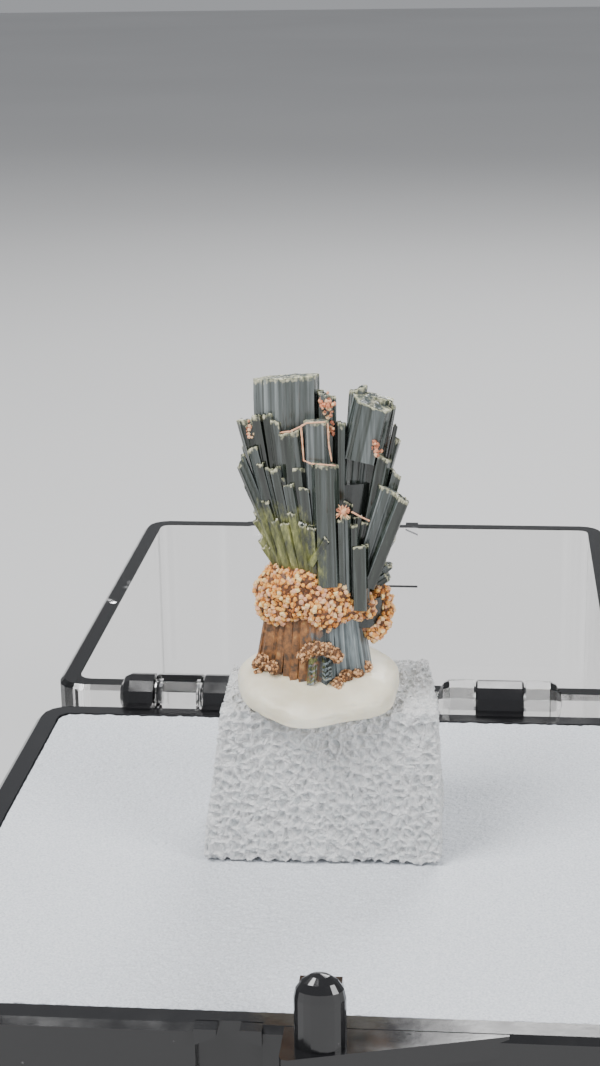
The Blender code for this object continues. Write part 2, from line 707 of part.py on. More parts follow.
def between(ends, share):
    """A point at a share of the way from the first end to the second."""
    return Vector(ends[0]).lerp(Vector(ends[1]), share)


def fan_row(count, feet, tips, width, bulge, rng):
    """Crystals side by side, from the first foot and tip to the last, each a little out of line."""
    made = []
    for k in range(count):
        share = k / (count - 1)
        foot = between(feet, share)
        tip = between(tips, share)
        tip += Vector((rng.uniform(-0.08, 0.08), rng.uniform(-0.12, 0.12), rng.uniform(-0.6, 0.6)))
        swell = bulge * math.sin(math.pi * share)
        foot.y += 0.5 * swell
        tip.y += swell
        size = width * rng.uniform(0.8, 1.2)
        lean = (rng.uniform(-0.4, 0.4), rng.uniform(-0.2, 0.4))
        made.append(Crystal(tuple(foot), tuple(tip), size, size * 1.1, rng.uniform(-20, 20), lean))
    return made


def lower_fan(rng):
    """Prisms that spread down all round from the waist and end at a broken foot."""
    made = []
    for count, first in ((LOWER_FRONT, 180.0), (LOWER_BACK, 0.0)):
        for k in range(count):
            turn = math.radians(first + 180.0 * (k + 0.5 + rng.uniform(-0.25, 0.25)) / count)
            way = (math.cos(turn), math.sin(turn))
            out = rng.uniform(0.93, 1.05)
            foot = [c + r * w for c, r, w in zip(LOWER_CENTRE, LOWER_TOP_REACH, way)]
            tip = [c + r * w * out for c, r, w in zip(LOWER_CENTRE, LOWER_FOOT_REACH, way)]
            end = LOWER_FOOT + rng.uniform(0.0, 0.35)
            width = LOWER_WIDTH * rng.uniform(0.75, 1.25)
            lean = (rng.uniform(-0.3, 0.3), 0.0)
            made.append(Crystal((*foot, LOWER_TOP), (*tip, end), width, width, rng.uniform(-15, 15), lean))
    return made


def height_at(rule, x):
    """The height that a rule of (x, height) points gives at a place, straight between its points."""
    for (x0, z0), (x1, z1) in zip(rule, rule[1:]):
        if x < x1:
            share = max(0.0, (x - x0) / (x1 - x0))
            return z0 + (z1 - z0) * share
    return rule[-1][1]


def crust_point(turn, share, out):
    """A place on the crust: its turn round the waist, its share of the way up, and how far out it lies."""
    x = CRUST_CENTRE[0] + CRUST_REACH[0] * out * math.cos(turn)
    y = CRUST_CENTRE[1] + CRUST_REACH[1] * out * math.sin(turn)
    low = height_at(CRUST_LOWS, x)
    return Vector((x, y, low + (height_at(CRUST_TOPS, x) - low) * share))


def add_crust_band(shape, rng):
    """Adds the knobbly band round the waist."""
    made = bmesh.ops.create_uvsphere(shape, u_segments=CRUST_ROUND, v_segments=CRUST_ROWS, radius=1.0)
    for point in made["verts"]:
        turn = math.atan2(point.co.y, point.co.x)
        flat = math.hypot(point.co.x, point.co.y)
        share = 0.5 + 0.5 * math.copysign(abs(point.co.z) ** 0.8, point.co.z)
        out = 0.0 if flat < 0.01 else flat**0.4 * (1.0 + rng.uniform(-CRUST_KNOBS, CRUST_KNOBS))
        place = crust_point(turn, share, out)
        if flat >= 0.01:
            place.z += rng.uniform(-CRUST_KNOBS, CRUST_KNOBS)
        point.co = place * MM


def add_crust(shape, rng):
    """The band, the grains on it, the bulge on its right, the arch over the foot and the foot's patches."""
    add_crust_band(shape, rng)
    for k in range(CRUST_GRAINS):
        turn = math.tau * (k + rng.uniform(-0.3, 0.3)) * 0.618
        place = crust_point(turn, rng.uniform(0.02, 0.95), 1.01)
        add_grain(shape, place, CRUST_GRAIN * rng.uniform(0.8, 1.25), rng)
    for k in range(BULGE_GRAINS):
        turn = math.tau * k / BULGE_GRAINS
        reach = (math.cos(turn), rng.uniform(-1.0, 1.0), math.sin(turn))
        centre = [c + r * w for c, r, w in zip(BULGE_CENTRE, BULGE_REACH, reach)]
        add_grain(shape, centre, BULGE_GRAIN * rng.uniform(0.85, 1.1), rng)
    for k in range(ARCH_GRAINS):
        turn = math.radians(20.0 + 140.0 * k / (ARCH_GRAINS - 1))
        x = ARCH_CENTRE[0] + ARCH_RADIUS * math.cos(turn)
        z = ARCH_CENTRE[2] + 0.8 * ARCH_RADIUS * math.sin(turn)
        add_grain(shape, (x, ARCH_CENTRE[1], z), 0.95 * PATCH_GRAIN, rng)
    for centre in FOOT_PATCHES:
        add_grain(shape, centre, PATCH_GRAIN, rng)


def island_of(start):
    """The points that edges link to a point, itself included."""
    island = {start}
    ahead = [start]
    while ahead:
        for edge in ahead.pop().link_edges:
            for point in edge.verts:
                if point not in island:
                    island.add(point)
                    ahead.append(point)
    return island


def keep_largest_body(mesh):
    """Deletes free grains and sealed cavities from a mesh, so that one closed body is left."""
    shape = bmesh.new()
    shape.from_mesh(mesh)
    islands = []
    left = set(shape.verts)
    while left:
        islands.append(island_of(left.pop()))
        left -= islands[-1]
    islands.sort(key=len)
    for island in islands[:-1]:
        bmesh.ops.delete(shape, geom=list(island), context="VERTS")
    shape.to_mesh(mesh)
    shape.free()


def build_epidote(parts, helpers):
    """The crystal group, one solid: cores, crystals of both fans and crust, joined."""
    rng = random.Random(21)
    core = bmesh.new()
    add_core(core, CORES[0])
    group = object_of("epidote", mesh_of("epidote", core), parts)
    group.location = (0.0, 0.0, RIM + GAP + BLOCK_HEIGHT)
    group.data.materials.append(epidote_green())

    grown = bmesh.new()
    for rock in CORES[1:]:
        add_core(grown, rock)
    add_crystal(grown, TALL_CRYSTAL, 1, TALL_OUTLINE)
    needles = [crystal for fan in FAN_ROWS for crystal in fan_row(*fan, rng)]
    for seed, crystal in enumerate((*UPPER_CRYSTALS, *STUBS, *needles, *lower_fan(rng)), 2):
        add_crystal(grown, crystal, seed)
    add_crust(grown, rng)
    grown_with = helper_of("grown_with", mesh_of("grown_with", grown), helpers)
    grown_with.location = group.location

    union = group.modifiers.new("grown_with", "BOOLEAN")
    union.operation = "UNION"
    union.object = grown_with
    union.solver = "EXACT"
    union.use_self = True
    joined = evaluated_mesh(group, "epidote")
    bpy.data.objects.remove(grown_with)
    group.modifiers.clear()
    group.data = joined
    keep_largest_body(joined)


def main():
    """Builds every piece in its place."""
    clear_scene()
    parts = collection("epidote_specimen")
    helpers = collection("helpers", hidden=True)
    build_box(parts, helpers)
    build_pad(parts)
    build_block(parts)
    build_putty(parts, helpers)
    build_epidote(parts, helpers)


if __name__ == "__main__":
    main()
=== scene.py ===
"""Looks for the epidote specimen: a crystal group on putty and a foam block in a hinged display box.

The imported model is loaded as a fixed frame, and every piece made here rides on one of its bodies.
Lengths are in metres, X runs to the right, Y away from the viewer and Z up.
"""

from __future__ import annotations

import logging
import math
import random
from dataclasses import dataclass, field
from enum import Enum
from typing import NamedTuple

import bmesh  # noqa: E402
import bpy  # noqa: E402
from mathutils import Matrix, Vector, noise  # noqa: E402

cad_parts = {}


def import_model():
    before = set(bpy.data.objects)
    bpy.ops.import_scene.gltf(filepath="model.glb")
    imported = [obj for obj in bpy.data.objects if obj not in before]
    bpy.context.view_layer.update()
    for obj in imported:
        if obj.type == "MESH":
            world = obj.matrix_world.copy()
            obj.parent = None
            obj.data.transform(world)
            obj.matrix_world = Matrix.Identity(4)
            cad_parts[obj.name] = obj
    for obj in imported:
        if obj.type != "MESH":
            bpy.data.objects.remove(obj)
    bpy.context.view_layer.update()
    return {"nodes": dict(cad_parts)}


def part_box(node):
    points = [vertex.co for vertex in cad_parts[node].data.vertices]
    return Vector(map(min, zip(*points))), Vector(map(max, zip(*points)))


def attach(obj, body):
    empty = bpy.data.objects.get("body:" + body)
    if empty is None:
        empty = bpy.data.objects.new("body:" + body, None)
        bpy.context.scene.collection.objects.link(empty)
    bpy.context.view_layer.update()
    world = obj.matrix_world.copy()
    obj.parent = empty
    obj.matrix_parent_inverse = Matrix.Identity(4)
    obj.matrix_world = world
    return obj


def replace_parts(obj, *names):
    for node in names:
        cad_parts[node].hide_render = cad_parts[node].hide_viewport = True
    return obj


LOG = logging.getLogger("specimen")
MM = 0.001
RIM = 23.4 * MM
BLOCK_TOP = RIM + 7.1 * MM
MERGE_REACH = 0.001 * MM

Colour = tuple[float, float, float]
Stops = tuple[tuple[float, Colour], ...]
Levels = tuple[tuple[float, float], ...]
BODY = "base"


class Slot(Enum):
    """Names of the record's material slots; nothing here reads them."""

    PUTTY = "putty_wax"
    BLOCK = "block_foam"
    PAD = "pad_foam"
    EPIDOTE = "epidote_green"


@dataclass(frozen=True)
class Lens:
    """The photograph's camera, found from the edges of the box and the pad.

    Attributes:
        place: The camera's place.
        pitch: Degrees below the horizon.
        yaw: Degrees clockwise of +Y, seen from above.
        roll: Degrees that the picture is turned.
        focal: The focal length in pixels of the photograph.
        tall: The photograph's height in pixels.
    """

    place: Colour = (7.5392 * MM, -81.282 * MM, 39.964 * MM + RIM)
    pitch: float = 17.15
    yaw: float = -5.52
    roll: float = 0.84
    focal: float = 1971.0
    tall: float = 1066.0


@dataclass(frozen=True)
class Lamp:
    """One soft studio light.

    Attributes:
        name: The light's name.
        place: Where it stands.
        size: The side of its square, in metres.
        power: Its power in watts.
        tint: Its colour.
    """

    name: str
    place: Colour
    size: float
    power: float
    tint: Colour = (1.0, 1.0, 1.0)


LAMPS = (
    Lamp("key", (-0.16, -0.12, 0.30), 0.16, 1.5),
    Lamp("fill", (0.24, -0.16, 0.16), 0.14, 0.7),
    Lamp("rim", (0.06, 0.24, 0.26), 0.14, 0.8),
)
SPECIMEN_MIDDLE = (0.0, 0.0, 0.036)
WORLD_TINT = (0.86, 0.88, 0.92, 1.0)
WORLD_STRENGTH = 0.42
FLOOR_SIDE = 3.0
FLOOR_GREYS = ((0.3, 0.60), (0.7, 0.64))


class NodeBook:
    """Builds one material's node tree, with short calls for the nodes used most."""

    def __init__(self, name: str) -> None:
        """Starts a material.

        Args:
            name: The material's name.
        """
        self.material = bpy.data.materials.new(name)
        self.material.use_nodes = True
        self.tree = self.material.node_tree
        self.shader = self.tree.nodes["Principled BSDF"]
        self.place = self.tree.nodes.new("ShaderNodeTexCoord").outputs["Object"]

    def set(self, **values: float | tuple) -> None:
        """Sets sockets of the shader.

        Args:
            values: Socket names with underscores for spaces, and their values.
        """
        for name, value in values.items():
            self.shader.inputs[name.replace("_", " ")].default_value = value

    def link(self, source: bpy.types.NodeSocket, target: bpy.types.NodeSocket) -> None:
        """Joins two sockets."""
        self.tree.links.new(source, target)

    def mapped(self, scale: Colour) -> bpy.types.NodeSocket:
        """The piece's own place, stretched.

        Args:
            scale: The stretch along each axis.

        Returns:
            A vector socket.
        """
        node = self.tree.nodes.new("ShaderNodeMapping")
        node.inputs["Scale"].default_value = scale
        self.link(self.place, node.inputs["Vector"])
        return node.outputs["Vector"]

    def noise(self, scale: float, detail: float = 3.0, where: bpy.types.NodeSocket | None = None,
              rough: float = 0.5) -> bpy.types.NodeSocket:
        """A noise value.

        Args:
            scale: Features per metre.
            detail: Octaves.
            where: A vector socket, or nothing for the piece's own place.
            rough: How much the finer octaves weigh.

        Returns:
            A value socket around 0.5.
        """
        node = self.tree.nodes.new("ShaderNodeTexNoise")
        node.inputs["Scale"].default_value = scale
        node.inputs["Detail"].default_value = detail
        node.inputs["Roughness"].default_value = rough
        self.link(where or self.place, node.inputs["Vector"])
        return node.outputs["Fac"]

    def cells(self, scale: float, feature: str = "F1") -> bpy.types.NodeSocket:
        """The distance to the nearest of a field of scattered points.

        Args:
            scale: Points per metre.
            feature: The distance's kind.

        Returns:
            A value socket.
        """
        node = self.tree.nodes.new("ShaderNodeTexVoronoi")
        node.feature = feature
        node.inputs["Scale"].default_value = scale
        self.link(self.place, node.inputs["Vector"])
        return node.outputs["Distance"]

    def ramp(self, value: bpy.types.NodeSocket, stops: Stops) -> bpy.types.NodeSocket:
        """Colours by a value.

        Args:
            value: The value socket.
            stops: Places along the ramp with their colours.

        Returns:
            A colour socket.
        """
        node = self.tree.nodes.new("ShaderNodeValToRGB")
        band = node.color_ramp
        while len(band.elements) < len(stops):
            band.elements.new(1.0)
        for element, (at, colour) in zip(band.elements, stops):
            element.position = at
            element.color = (*colour, 1.0)
        self.link(value, node.inputs["Fac"])
        return node.outputs["Color"]

    def attribute(self, name: str) -> bpy.types.NodeSocket:
        """A value kept on the mesh's points.

        Args:
            name: The attribute's name.

        Returns:
            A value socket.
        """
        node = self.tree.nodes.new("ShaderNodeAttribute")
        node.attribute_name = name
        return node.outputs["Fac"]

    def grey(self, value: bpy.types.NodeSocket, stops: Levels) -> bpy.types.NodeSocket:
        """Grey levels by a value."""
        return self.ramp(value, tuple((at, (level, level, level)) for at, level in stops))

    def mix(self, share: bpy.types.NodeSocket | float, first: bpy.types.NodeSocket | Colour,
            second: bpy.types.NodeSocket | Colour) -> bpy.types.NodeSocket:
        """Mixes two colours.

        Args:
            share: How much of the second.
            first: A colour or its socket.
            second: A colour or its socket.

        Returns:
            A colour socket.
        """
        node = self.tree.nodes.new("ShaderNodeMix")
        node.data_type = "RGBA"
        for name, value in (("Factor", share), ("A", first), ("B", second)):
            socket = next(s for s in node.inputs if s.name == name and s.enabled)
            if isinstance(value, bpy.types.NodeSocket):
                self.link(value, socket)
            elif isinstance(value, tuple):
                socket.default_value = (*value, 1.0)
            else:
                socket.default_value = value
        return next(s for s in node.outputs if s.enabled)

    def maths(self, how: str, first: bpy.types.NodeSocket | float,
              second: bpy.types.NodeSocket | float) -> bpy.types.NodeSocket:
        """Works on two values.

        Args:
            how: The operation.
            first: A value or its socket.
            second: A value or its socket.

        Returns:
            A value socket.
        """
        node = self.tree.nodes.new("ShaderNodeMath")
        node.operation = how
        for socket, value in zip(node.inputs, (first, second)):
            if isinstance(value, bpy.types.NodeSocket):
                self.link(value, socket)
            else:
                socket.default_value = value
        return node.outputs["Value"]

    def colour(self, source: bpy.types.NodeSocket) -> None:
        """Gives the shader its colour."""
        self.link(source, self.shader.inputs["Base Color"])

    def roughness(self, source: bpy.types.NodeSocket) -> None:
        """Gives the shader its roughness."""
        self.link(source, self.shader.inputs["Roughness"])

    def bump(self, source: bpy.types.NodeSocket, depth: float, strength: float = 1.0) -> None:
        """Raises the surface in shading.

        Args:
            source: The height.
            depth: The height's reach in metres.
            strength: The share of the effect.
        """
        node = self.tree.nodes.new("ShaderNodeBump")
        node.inputs["Distance"].default_value = depth
        node.inputs["Strength"].default_value = strength
        self.link(source, node.inputs["Height"])
        self.link(node.outputs["Normal"], self.shader.inputs["Normal"])


@dataclass(frozen=True)
class BlackPlastic:
    """Polished black styrene with a few fine specks of dust.

    Attributes:
        body: The plastic's colour.
        dust: The specks' colour.
        index: Its index of refraction.
        share: How strongly the specks show.
    """

    body: Colour = (0.009, 0.009, 0.010)
    dust: Colour = (0.45, 0.45, 0.45)
    index: float = 1.59
    share: float = 0.35

    def material(self) -> bpy.types.Material:
        """Makes the material."""
        book = NodeBook("black_plastic_look")
        book.set(IOR=self.index)
        specks = book.grey(book.cells(900.0), ((0.0, 1.0), (0.06, 0.0)))
        patch = book.grey(book.noise(220.0, 2.0), ((0.5, 0.0), (0.62, 1.0)))
        share = book.maths("MULTIPLY", book.maths("MULTIPLY", specks, patch), self.share)
        book.colour(book.mix(share, self.body, self.dust))
        book.roughness(book.grey(book.noise(600.0, 4.0), ((0.35, 0.10), (0.7, 0.24))))
        book.bump(book.noise(2500.0, 2.0), 0.01 * MM, 0.25)
        return book.material


@dataclass(frozen=True)
class ClearPlastic:
    """Clear styrene.

    Attributes:
        tint: The light that passes through.
        index: Its index of refraction.
    """

    tint: Colour = (0.99, 0.985, 0.98)
    index: float = 1.59

    def material(self) -> bpy.types.Material:
        """Makes the material."""
        book = NodeBook("clear_plastic_look")
        book.set(IOR=self.index, Transmission_Weight=1.0, Base_Color=(*self.tint, 1.0))
        book.roughness(book.grey(book.noise(500.0, 3.0), ((0.4, 0.015), (0.75, 0.06))))
        return book.material


@dataclass(frozen=True)
class PadFoam:
    """Fine white foam with a sparkling grain, painted grey as shade in the hollows between its beads.

    Attributes:
        low: The colour between the beads, a painted shade in the hollows.
        high: The beads' colour.
    """

    low: Colour = (0.60, 0.63, 0.68)
    high: Colour = (0.90, 0.93, 0.97)

    def material(self) -> bpy.types.Material:
        """Makes the material."""
        book = NodeBook("pad_foam_look")
        grain = book.noise(9000.0, 4.0, rough=0.7)
        soft = book.noise(1400.0, 3.0)
        # The same grain lowers the bump and darkens the colour: painted shade in the hollows.
        book.colour(book.mix(book.grey(grain, ((0.35, 0.0), (0.7, 1.0))), self.low, self.high))
        book.set(Roughness=0.8, Subsurface_Weight=0.15, Subsurface_Radius=(0.4 * MM,) * 3)
        book.bump(book.maths("ADD", grain, soft), 0.12 * MM, 0.8)
        return book.material


@dataclass(frozen=True)
class BlockFoam:
    """Coarse white foam: a torn network of bright cell walls, with painted shade, grey, in the sunken cells
    between them.

    Attributes:
        stops: The colours from the cells to their walls, the grey in the cells being painted shade.
    """

    stops: Stops = ((0.35, (0.58, 0.61, 0.63)), (0.75, (0.88, 0.90, 0.90)), (1.0, (1.0, 1.0, 1.0)))

    def material(self) -> bpy.types.Material:
        """Makes the material."""
        book = NodeBook("block_foam_look")
        walls = book.cells(2400.0, "DISTANCE_TO_EDGE")
        grain = book.noise(5200.0, 5.0, rough=0.75)
        net = book.maths("ADD", book.grey(walls, ((0.0, 0.8), (0.25, 0.15))), grain)
        # The colour follows the bump: the sunken cells are painted grey as shade.
        book.colour(book.ramp(net, self.stops))
        book.set(Roughness=0.6, Subsurface_Weight=0.2, Subsurface_Radius=(0.5 * MM,) * 3)
        book.bump(net, 0.25 * MM, 1.0)
        return book.material


@dataclass(frozen=True)
class PuttyWax:
    """Cream mounting putty with faint pressed creases.

    Attributes:
        stops: Its colours from dull to bright.
        radius: How far light of each colour spreads in it.
    """

    stops: Stops = ((0.3, (0.66, 0.60, 0.44)), (0.55, (0.80, 0.75, 0.60)), (0.8, (0.90, 0.87, 0.76)))
    radius: Colour = (0.9 * MM, 0.7 * MM, 0.45 * MM)

    def material(self) -> bpy.types.Material:
        """Makes the material."""
        book = NodeBook("putty_look")
        book.colour(book.ramp(book.noise(420.0, 4.0), self.stops))
        book.set(Roughness=0.42, Subsurface_Weight=0.35, Subsurface_Radius=self.radius)
        crease = book.noise(500.0, 3.0, book.mapped((1.0, 1.0, 2.2)))
        book.bump(crease, 0.25 * MM, 0.7)
        return book.material


def varied(book: NodeBook, fine: bpy.types.NodeSocket, reach: float) -> bpy.types.NodeSocket:
    """The tone kept on the mesh's points, varied by a fine noise.

    Args:
        book: The material's nodes.
        fine: The noise.
        reach: How far it moves the tone.

    Returns:
        A value socket.
    """
    shift = book.maths("MULTIPLY", book.maths("SUBTRACT", fine, 0.5), reach)
    return book.maths("ADD", book.attribute("tone"), shift)


def streaked(book: NodeBook) -> bpy.types.NodeSocket:
    """The brightness of a crystal's faces: the tone on its points, with its painted sheen and highlights, and
    fine streaks along its height.
    """
    return varied(book, book.noise(9000.0, 3.0, book.mapped((1.0, 1.0, 0.04))), 0.5)


def cover(book: NodeBook, name: str, grain: bpy.types.NodeSocket, low: float,
          high: float) -> bpy.types.NodeSocket:
    """Where a growth covers the crystal: the value kept on its points, broken up by a grain.

    Args:
        book: The material's nodes.
        name: The value's name.
        grain: The noise that breaks it up.
        low: Where the cover starts.
        high: Where it is whole.

    Returns:
        A value socket from 0 to 1.
    """
    broken = book.maths("MULTIPLY", book.attribute(name), book.maths("MULTIPLY", grain, 2.0))
    return book.grey(broken, ((low, 0.0), (high, 1.0)))


@dataclass(frozen=True)
class CrystalGreen:
    """Green-black glossy crystal, with frosted cream rims and mossy yellow-green roots; its brighter tones
    are painted grey sheen, a reflection.

    Attributes:
        body: The crystal's colours by tone, dark green rising to a grey that is painted sheen and highlight.
        moss: The roots' colours by grain.
        rim: The rims' colours by grain.
    """

    body: Stops = (
        (0.15, (0.004, 0.006, 0.004)),
        (0.42, (0.022, 0.030, 0.022)),
        # From here up the grey is painted sheen: a reflection painted into the colour of the brighter faces.
        (0.68, (0.085, 0.100, 0.098)),
        (0.95, (0.26, 0.29, 0.29)),
    )
    moss: Stops = ((0.35, (0.03, 0.035, 0.008)), (0.55, (0.17, 0.18, 0.045)), (0.75, (0.50, 0.50, 0.20)))
    rim: Stops = ((0.35, (0.24, 0.26, 0.13)), (0.6, (0.55, 0.53, 0.36)), (0.8, (0.78, 0.72, 0.52)))

    def material(self) -> bpy.types.Material:
        """Makes the material."""
        book = NodeBook("crystal_green_look")
        grain = book.noise(3800.0, 4.0, book.mapped((1.0, 1.0, 0.35)), rough=0.65)
        mossy = cover(book, "moss", grain, 0.30, 0.62)
        body = book.mix(mossy, book.ramp(streaked(book), self.body), book.ramp(grain, self.moss))
        speck = book.noise(5200.0, 3.0)
        frosted = cover(book, "frost", speck, 0.45, 0.85)
        book.colour(book.mix(frosted, body, book.ramp(speck, self.rim)))
        rough = book.maths("ADD", book.maths("MULTIPLY", book.maths("ADD", mossy, frosted), 0.3), 0.16)
        book.roughness(book.maths("MINIMUM", rough, 0.6))
        book.set(IOR=1.73)
        book.bump(grain, 0.03 * MM, 0.35)
        return book.material


@dataclass(frozen=True)
class CrystalSlate:
    """Blue-grey striated crystal of the lower fan, stained brown on its left.

    Attributes:
        body: The crystal's colours by tone.
        stain: The stain's colours by grain.
    """

    body: Stops = (
        (0.15, (0.018, 0.022, 0.020)),
        (0.45, (0.095, 0.115, 0.120)),
        (0.7, (0.21, 0.25, 0.26)),
        (0.95, (0.42, 0.46, 0.46)),
    )
    stain: Stops = ((0.35, (0.05, 0.025, 0.008)), (0.6, (0.30, 0.12, 0.03)), (0.8, (0.48, 0.30, 0.10)))

    def material(self) -> bpy.types.Material:
        """Makes the material."""
        book = NodeBook("crystal_slate_look")
        grain = book.noise(3000.0, 4.0, rough=0.65)
        stained = cover(book, "moss", grain, 0.45, 0.7)
        book.colour(book.mix(stained, book.ramp(streaked(book), self.body), book.ramp(grain, self.stain)))
        book.roughness(book.maths("ADD", book.maths("MULTIPLY", stained, 0.35), 0.25))
        book.set(IOR=1.7)
        book.bump(grain, 0.03 * MM, 0.5)
        return book.material


@dataclass(frozen=True)
class Grainy:
    """Crusted grains, each with its own tone.

    Attributes:
        name: The material's name.
        stops: The colours by tone.
        rough: The grains' roughness.
        radius: How far light of each colour spreads in them.
    """

    name: str
    stops: Stops
    rough: float
    radius: Colour = (0.12 * MM, 0.08 * MM, 0.04 * MM)

    def material(self) -> bpy.types.Material:
        """Makes the material."""
        book = NodeBook(self.name)
        fine = book.noise(7000.0, 3.0)
        book.colour(book.ramp(varied(book, fine, 0.35), self.stops))
        book.set(Roughness=self.rough, IOR=1.6, Subsurface_Weight=0.08, Subsurface_Radius=self.radius)
        book.bump(fine, 0.02 * MM, 0.5)
        return book.material


RUST = Grainy("rust_look", (
    (0.0, (0.030, 0.020, 0.006)),
    (0.16, (0.16, 0.055, 0.016)),
    (0.34, (0.50, 0.17, 0.030)),
    (0.55, (0.74, 0.30, 0.055)),
    (0.74, (0.82, 0.46, 0.12)),
    (0.88, (0.70, 0.36, 0.24)),
    (1.0, (0.86, 0.66, 0.30)),
), 0.62)
BROWN = Grainy("brown_look", (
    (0.0, (0.030, 0.016, 0.006)),
    (0.3, (0.16, 0.065, 0.020)),
    (0.6, (0.42, 0.19, 0.065)),
    (1.0, (0.68, 0.42, 0.22)),
), 0.7)
SALMON = Grainy("salmon_look", (
    (0.0, (0.32, 0.10, 0.05)),
    (0.4, (0.70, 0.26, 0.13)),
    (0.75, (0.85, 0.46, 0.27)),
    (1.0, (0.90, 0.70, 0.40)),
), 0.6)


@dataclass
class Form:
    """Gathers one piece's mesh: its points, its faces and each point's values.

    Attributes:
        points: Places in millimetres above the foam block's top.
        faces: Point numbers of each face.
        tone: How bright each point is.
        frost: How frosted each point is.
        moss: How overgrown or stained each point is.
    """

    points: list = field(default_factory=list)
    faces: list = field(default_factory=list)
    tone: list = field(default_factory=list)
    frost: list = field(default_factory=list)
    moss: list = field(default_factory=list)

    def point(self, place: Vector | tuple, tone: float, frost: float = 0.0, moss: float = 0.0) -> int:
        """Adds a point.

        Args:
            place: Where it is.
            tone: How bright it is.
            frost: How frosted it is.
            moss: How overgrown or stained it is.

        Returns:
            Its number.
        """
        self.points.append(tuple(place))
        self.tone.append(tone)
        self.frost.append(frost)
        self.moss.append(moss)
        return len(self.points) - 1

    def mesh(self, name: str, material: bpy.types.Material) -> bpy.types.Mesh:
        """Makes the mesh, its faces outwards.

        Args:
            name: The mesh's name.
            material: Its material.

        Returns:
            The mesh, in metres in the frame.
        """
        mesh = bpy.data.meshes.new(name)
        placed = [(x * MM, y * MM, z * MM + BLOCK_TOP) for x, y, z in self.points]
        mesh.from_pydata(placed, [], self.faces)
        for label in ("tone", "frost", "moss"):
            values = mesh.attributes.new(label, "FLOAT", "POINT")
            values.data.foreach_set("value", getattr(self, label))
        mesh.materials.append(material)
        return mesh


def piece(name: str, mesh: bpy.types.Mesh) -> bpy.types.Object:
    """Shows a mesh as a piece that rides on the box's base.

    Args:
        name: The piece's name.
        mesh: Its mesh.

    Returns:
        The object.
    """
    made = bpy.data.objects.new(name, mesh)
    bpy.context.scene.collection.objects.link(made)
    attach(made, BODY)
    LOG.info("%s has %d faces", name, len(mesh.polygons))
    return made


# The crystals, in millimetres from the middle of the foam block's top: the frame's own and finer ones between
class Crystal(NamedTuple):
    """One prism.

    Foot and tip are the ends of its axis, and lean is how its end face falls to right and back.
    """

    foot: tuple
    tip: tuple
    width: float
    depth: float
    turn: float = 0.0
    lean: tuple = (0.0, 0.1)
    sides: int = 6


# The tallest crystal has one wide face to the front right and narrow ones round its left
TALL_OUTLINE = (
    (-1.0, 0.2), (-0.88, -0.42), (-0.55, -0.78), (-0.12, -1.0),
    (1.0, -0.86), (1.0, 0.5), (0.4, 1.0), (-0.6, 0.9),
)

CORES = (
    ((0.25, 0.5, 0.75), (0.3, 0.5, 3.4), (2.3, 1.45), (2.05, 1.2)),
    ((0.3, 0.5, 3.2), (0.45, 0.6, 6.0), (2.25, 1.25), (1.9, 1.0)),
    ((0.6, 0.75, 5.0), (0.75, 0.85, 9.8), (1.7, 0.85), (2.1, 0.8)),
    ((2.35, 0.4, 3.45), (2.35, 0.4, 4.75), (0.85, 0.7), (0.95, 0.65)),
    ((2.2, 0.42, 4.9), (2.4, 0.45, 6.9), (0.45, 0.4), (0.5, 0.4)),
)

TALL_CRYSTAL = Crystal((-0.97, 0.92, 8.7), (-1.0, 0.95, 14.42), 2.84, 2.0, 0, (-0.07, 0.12))

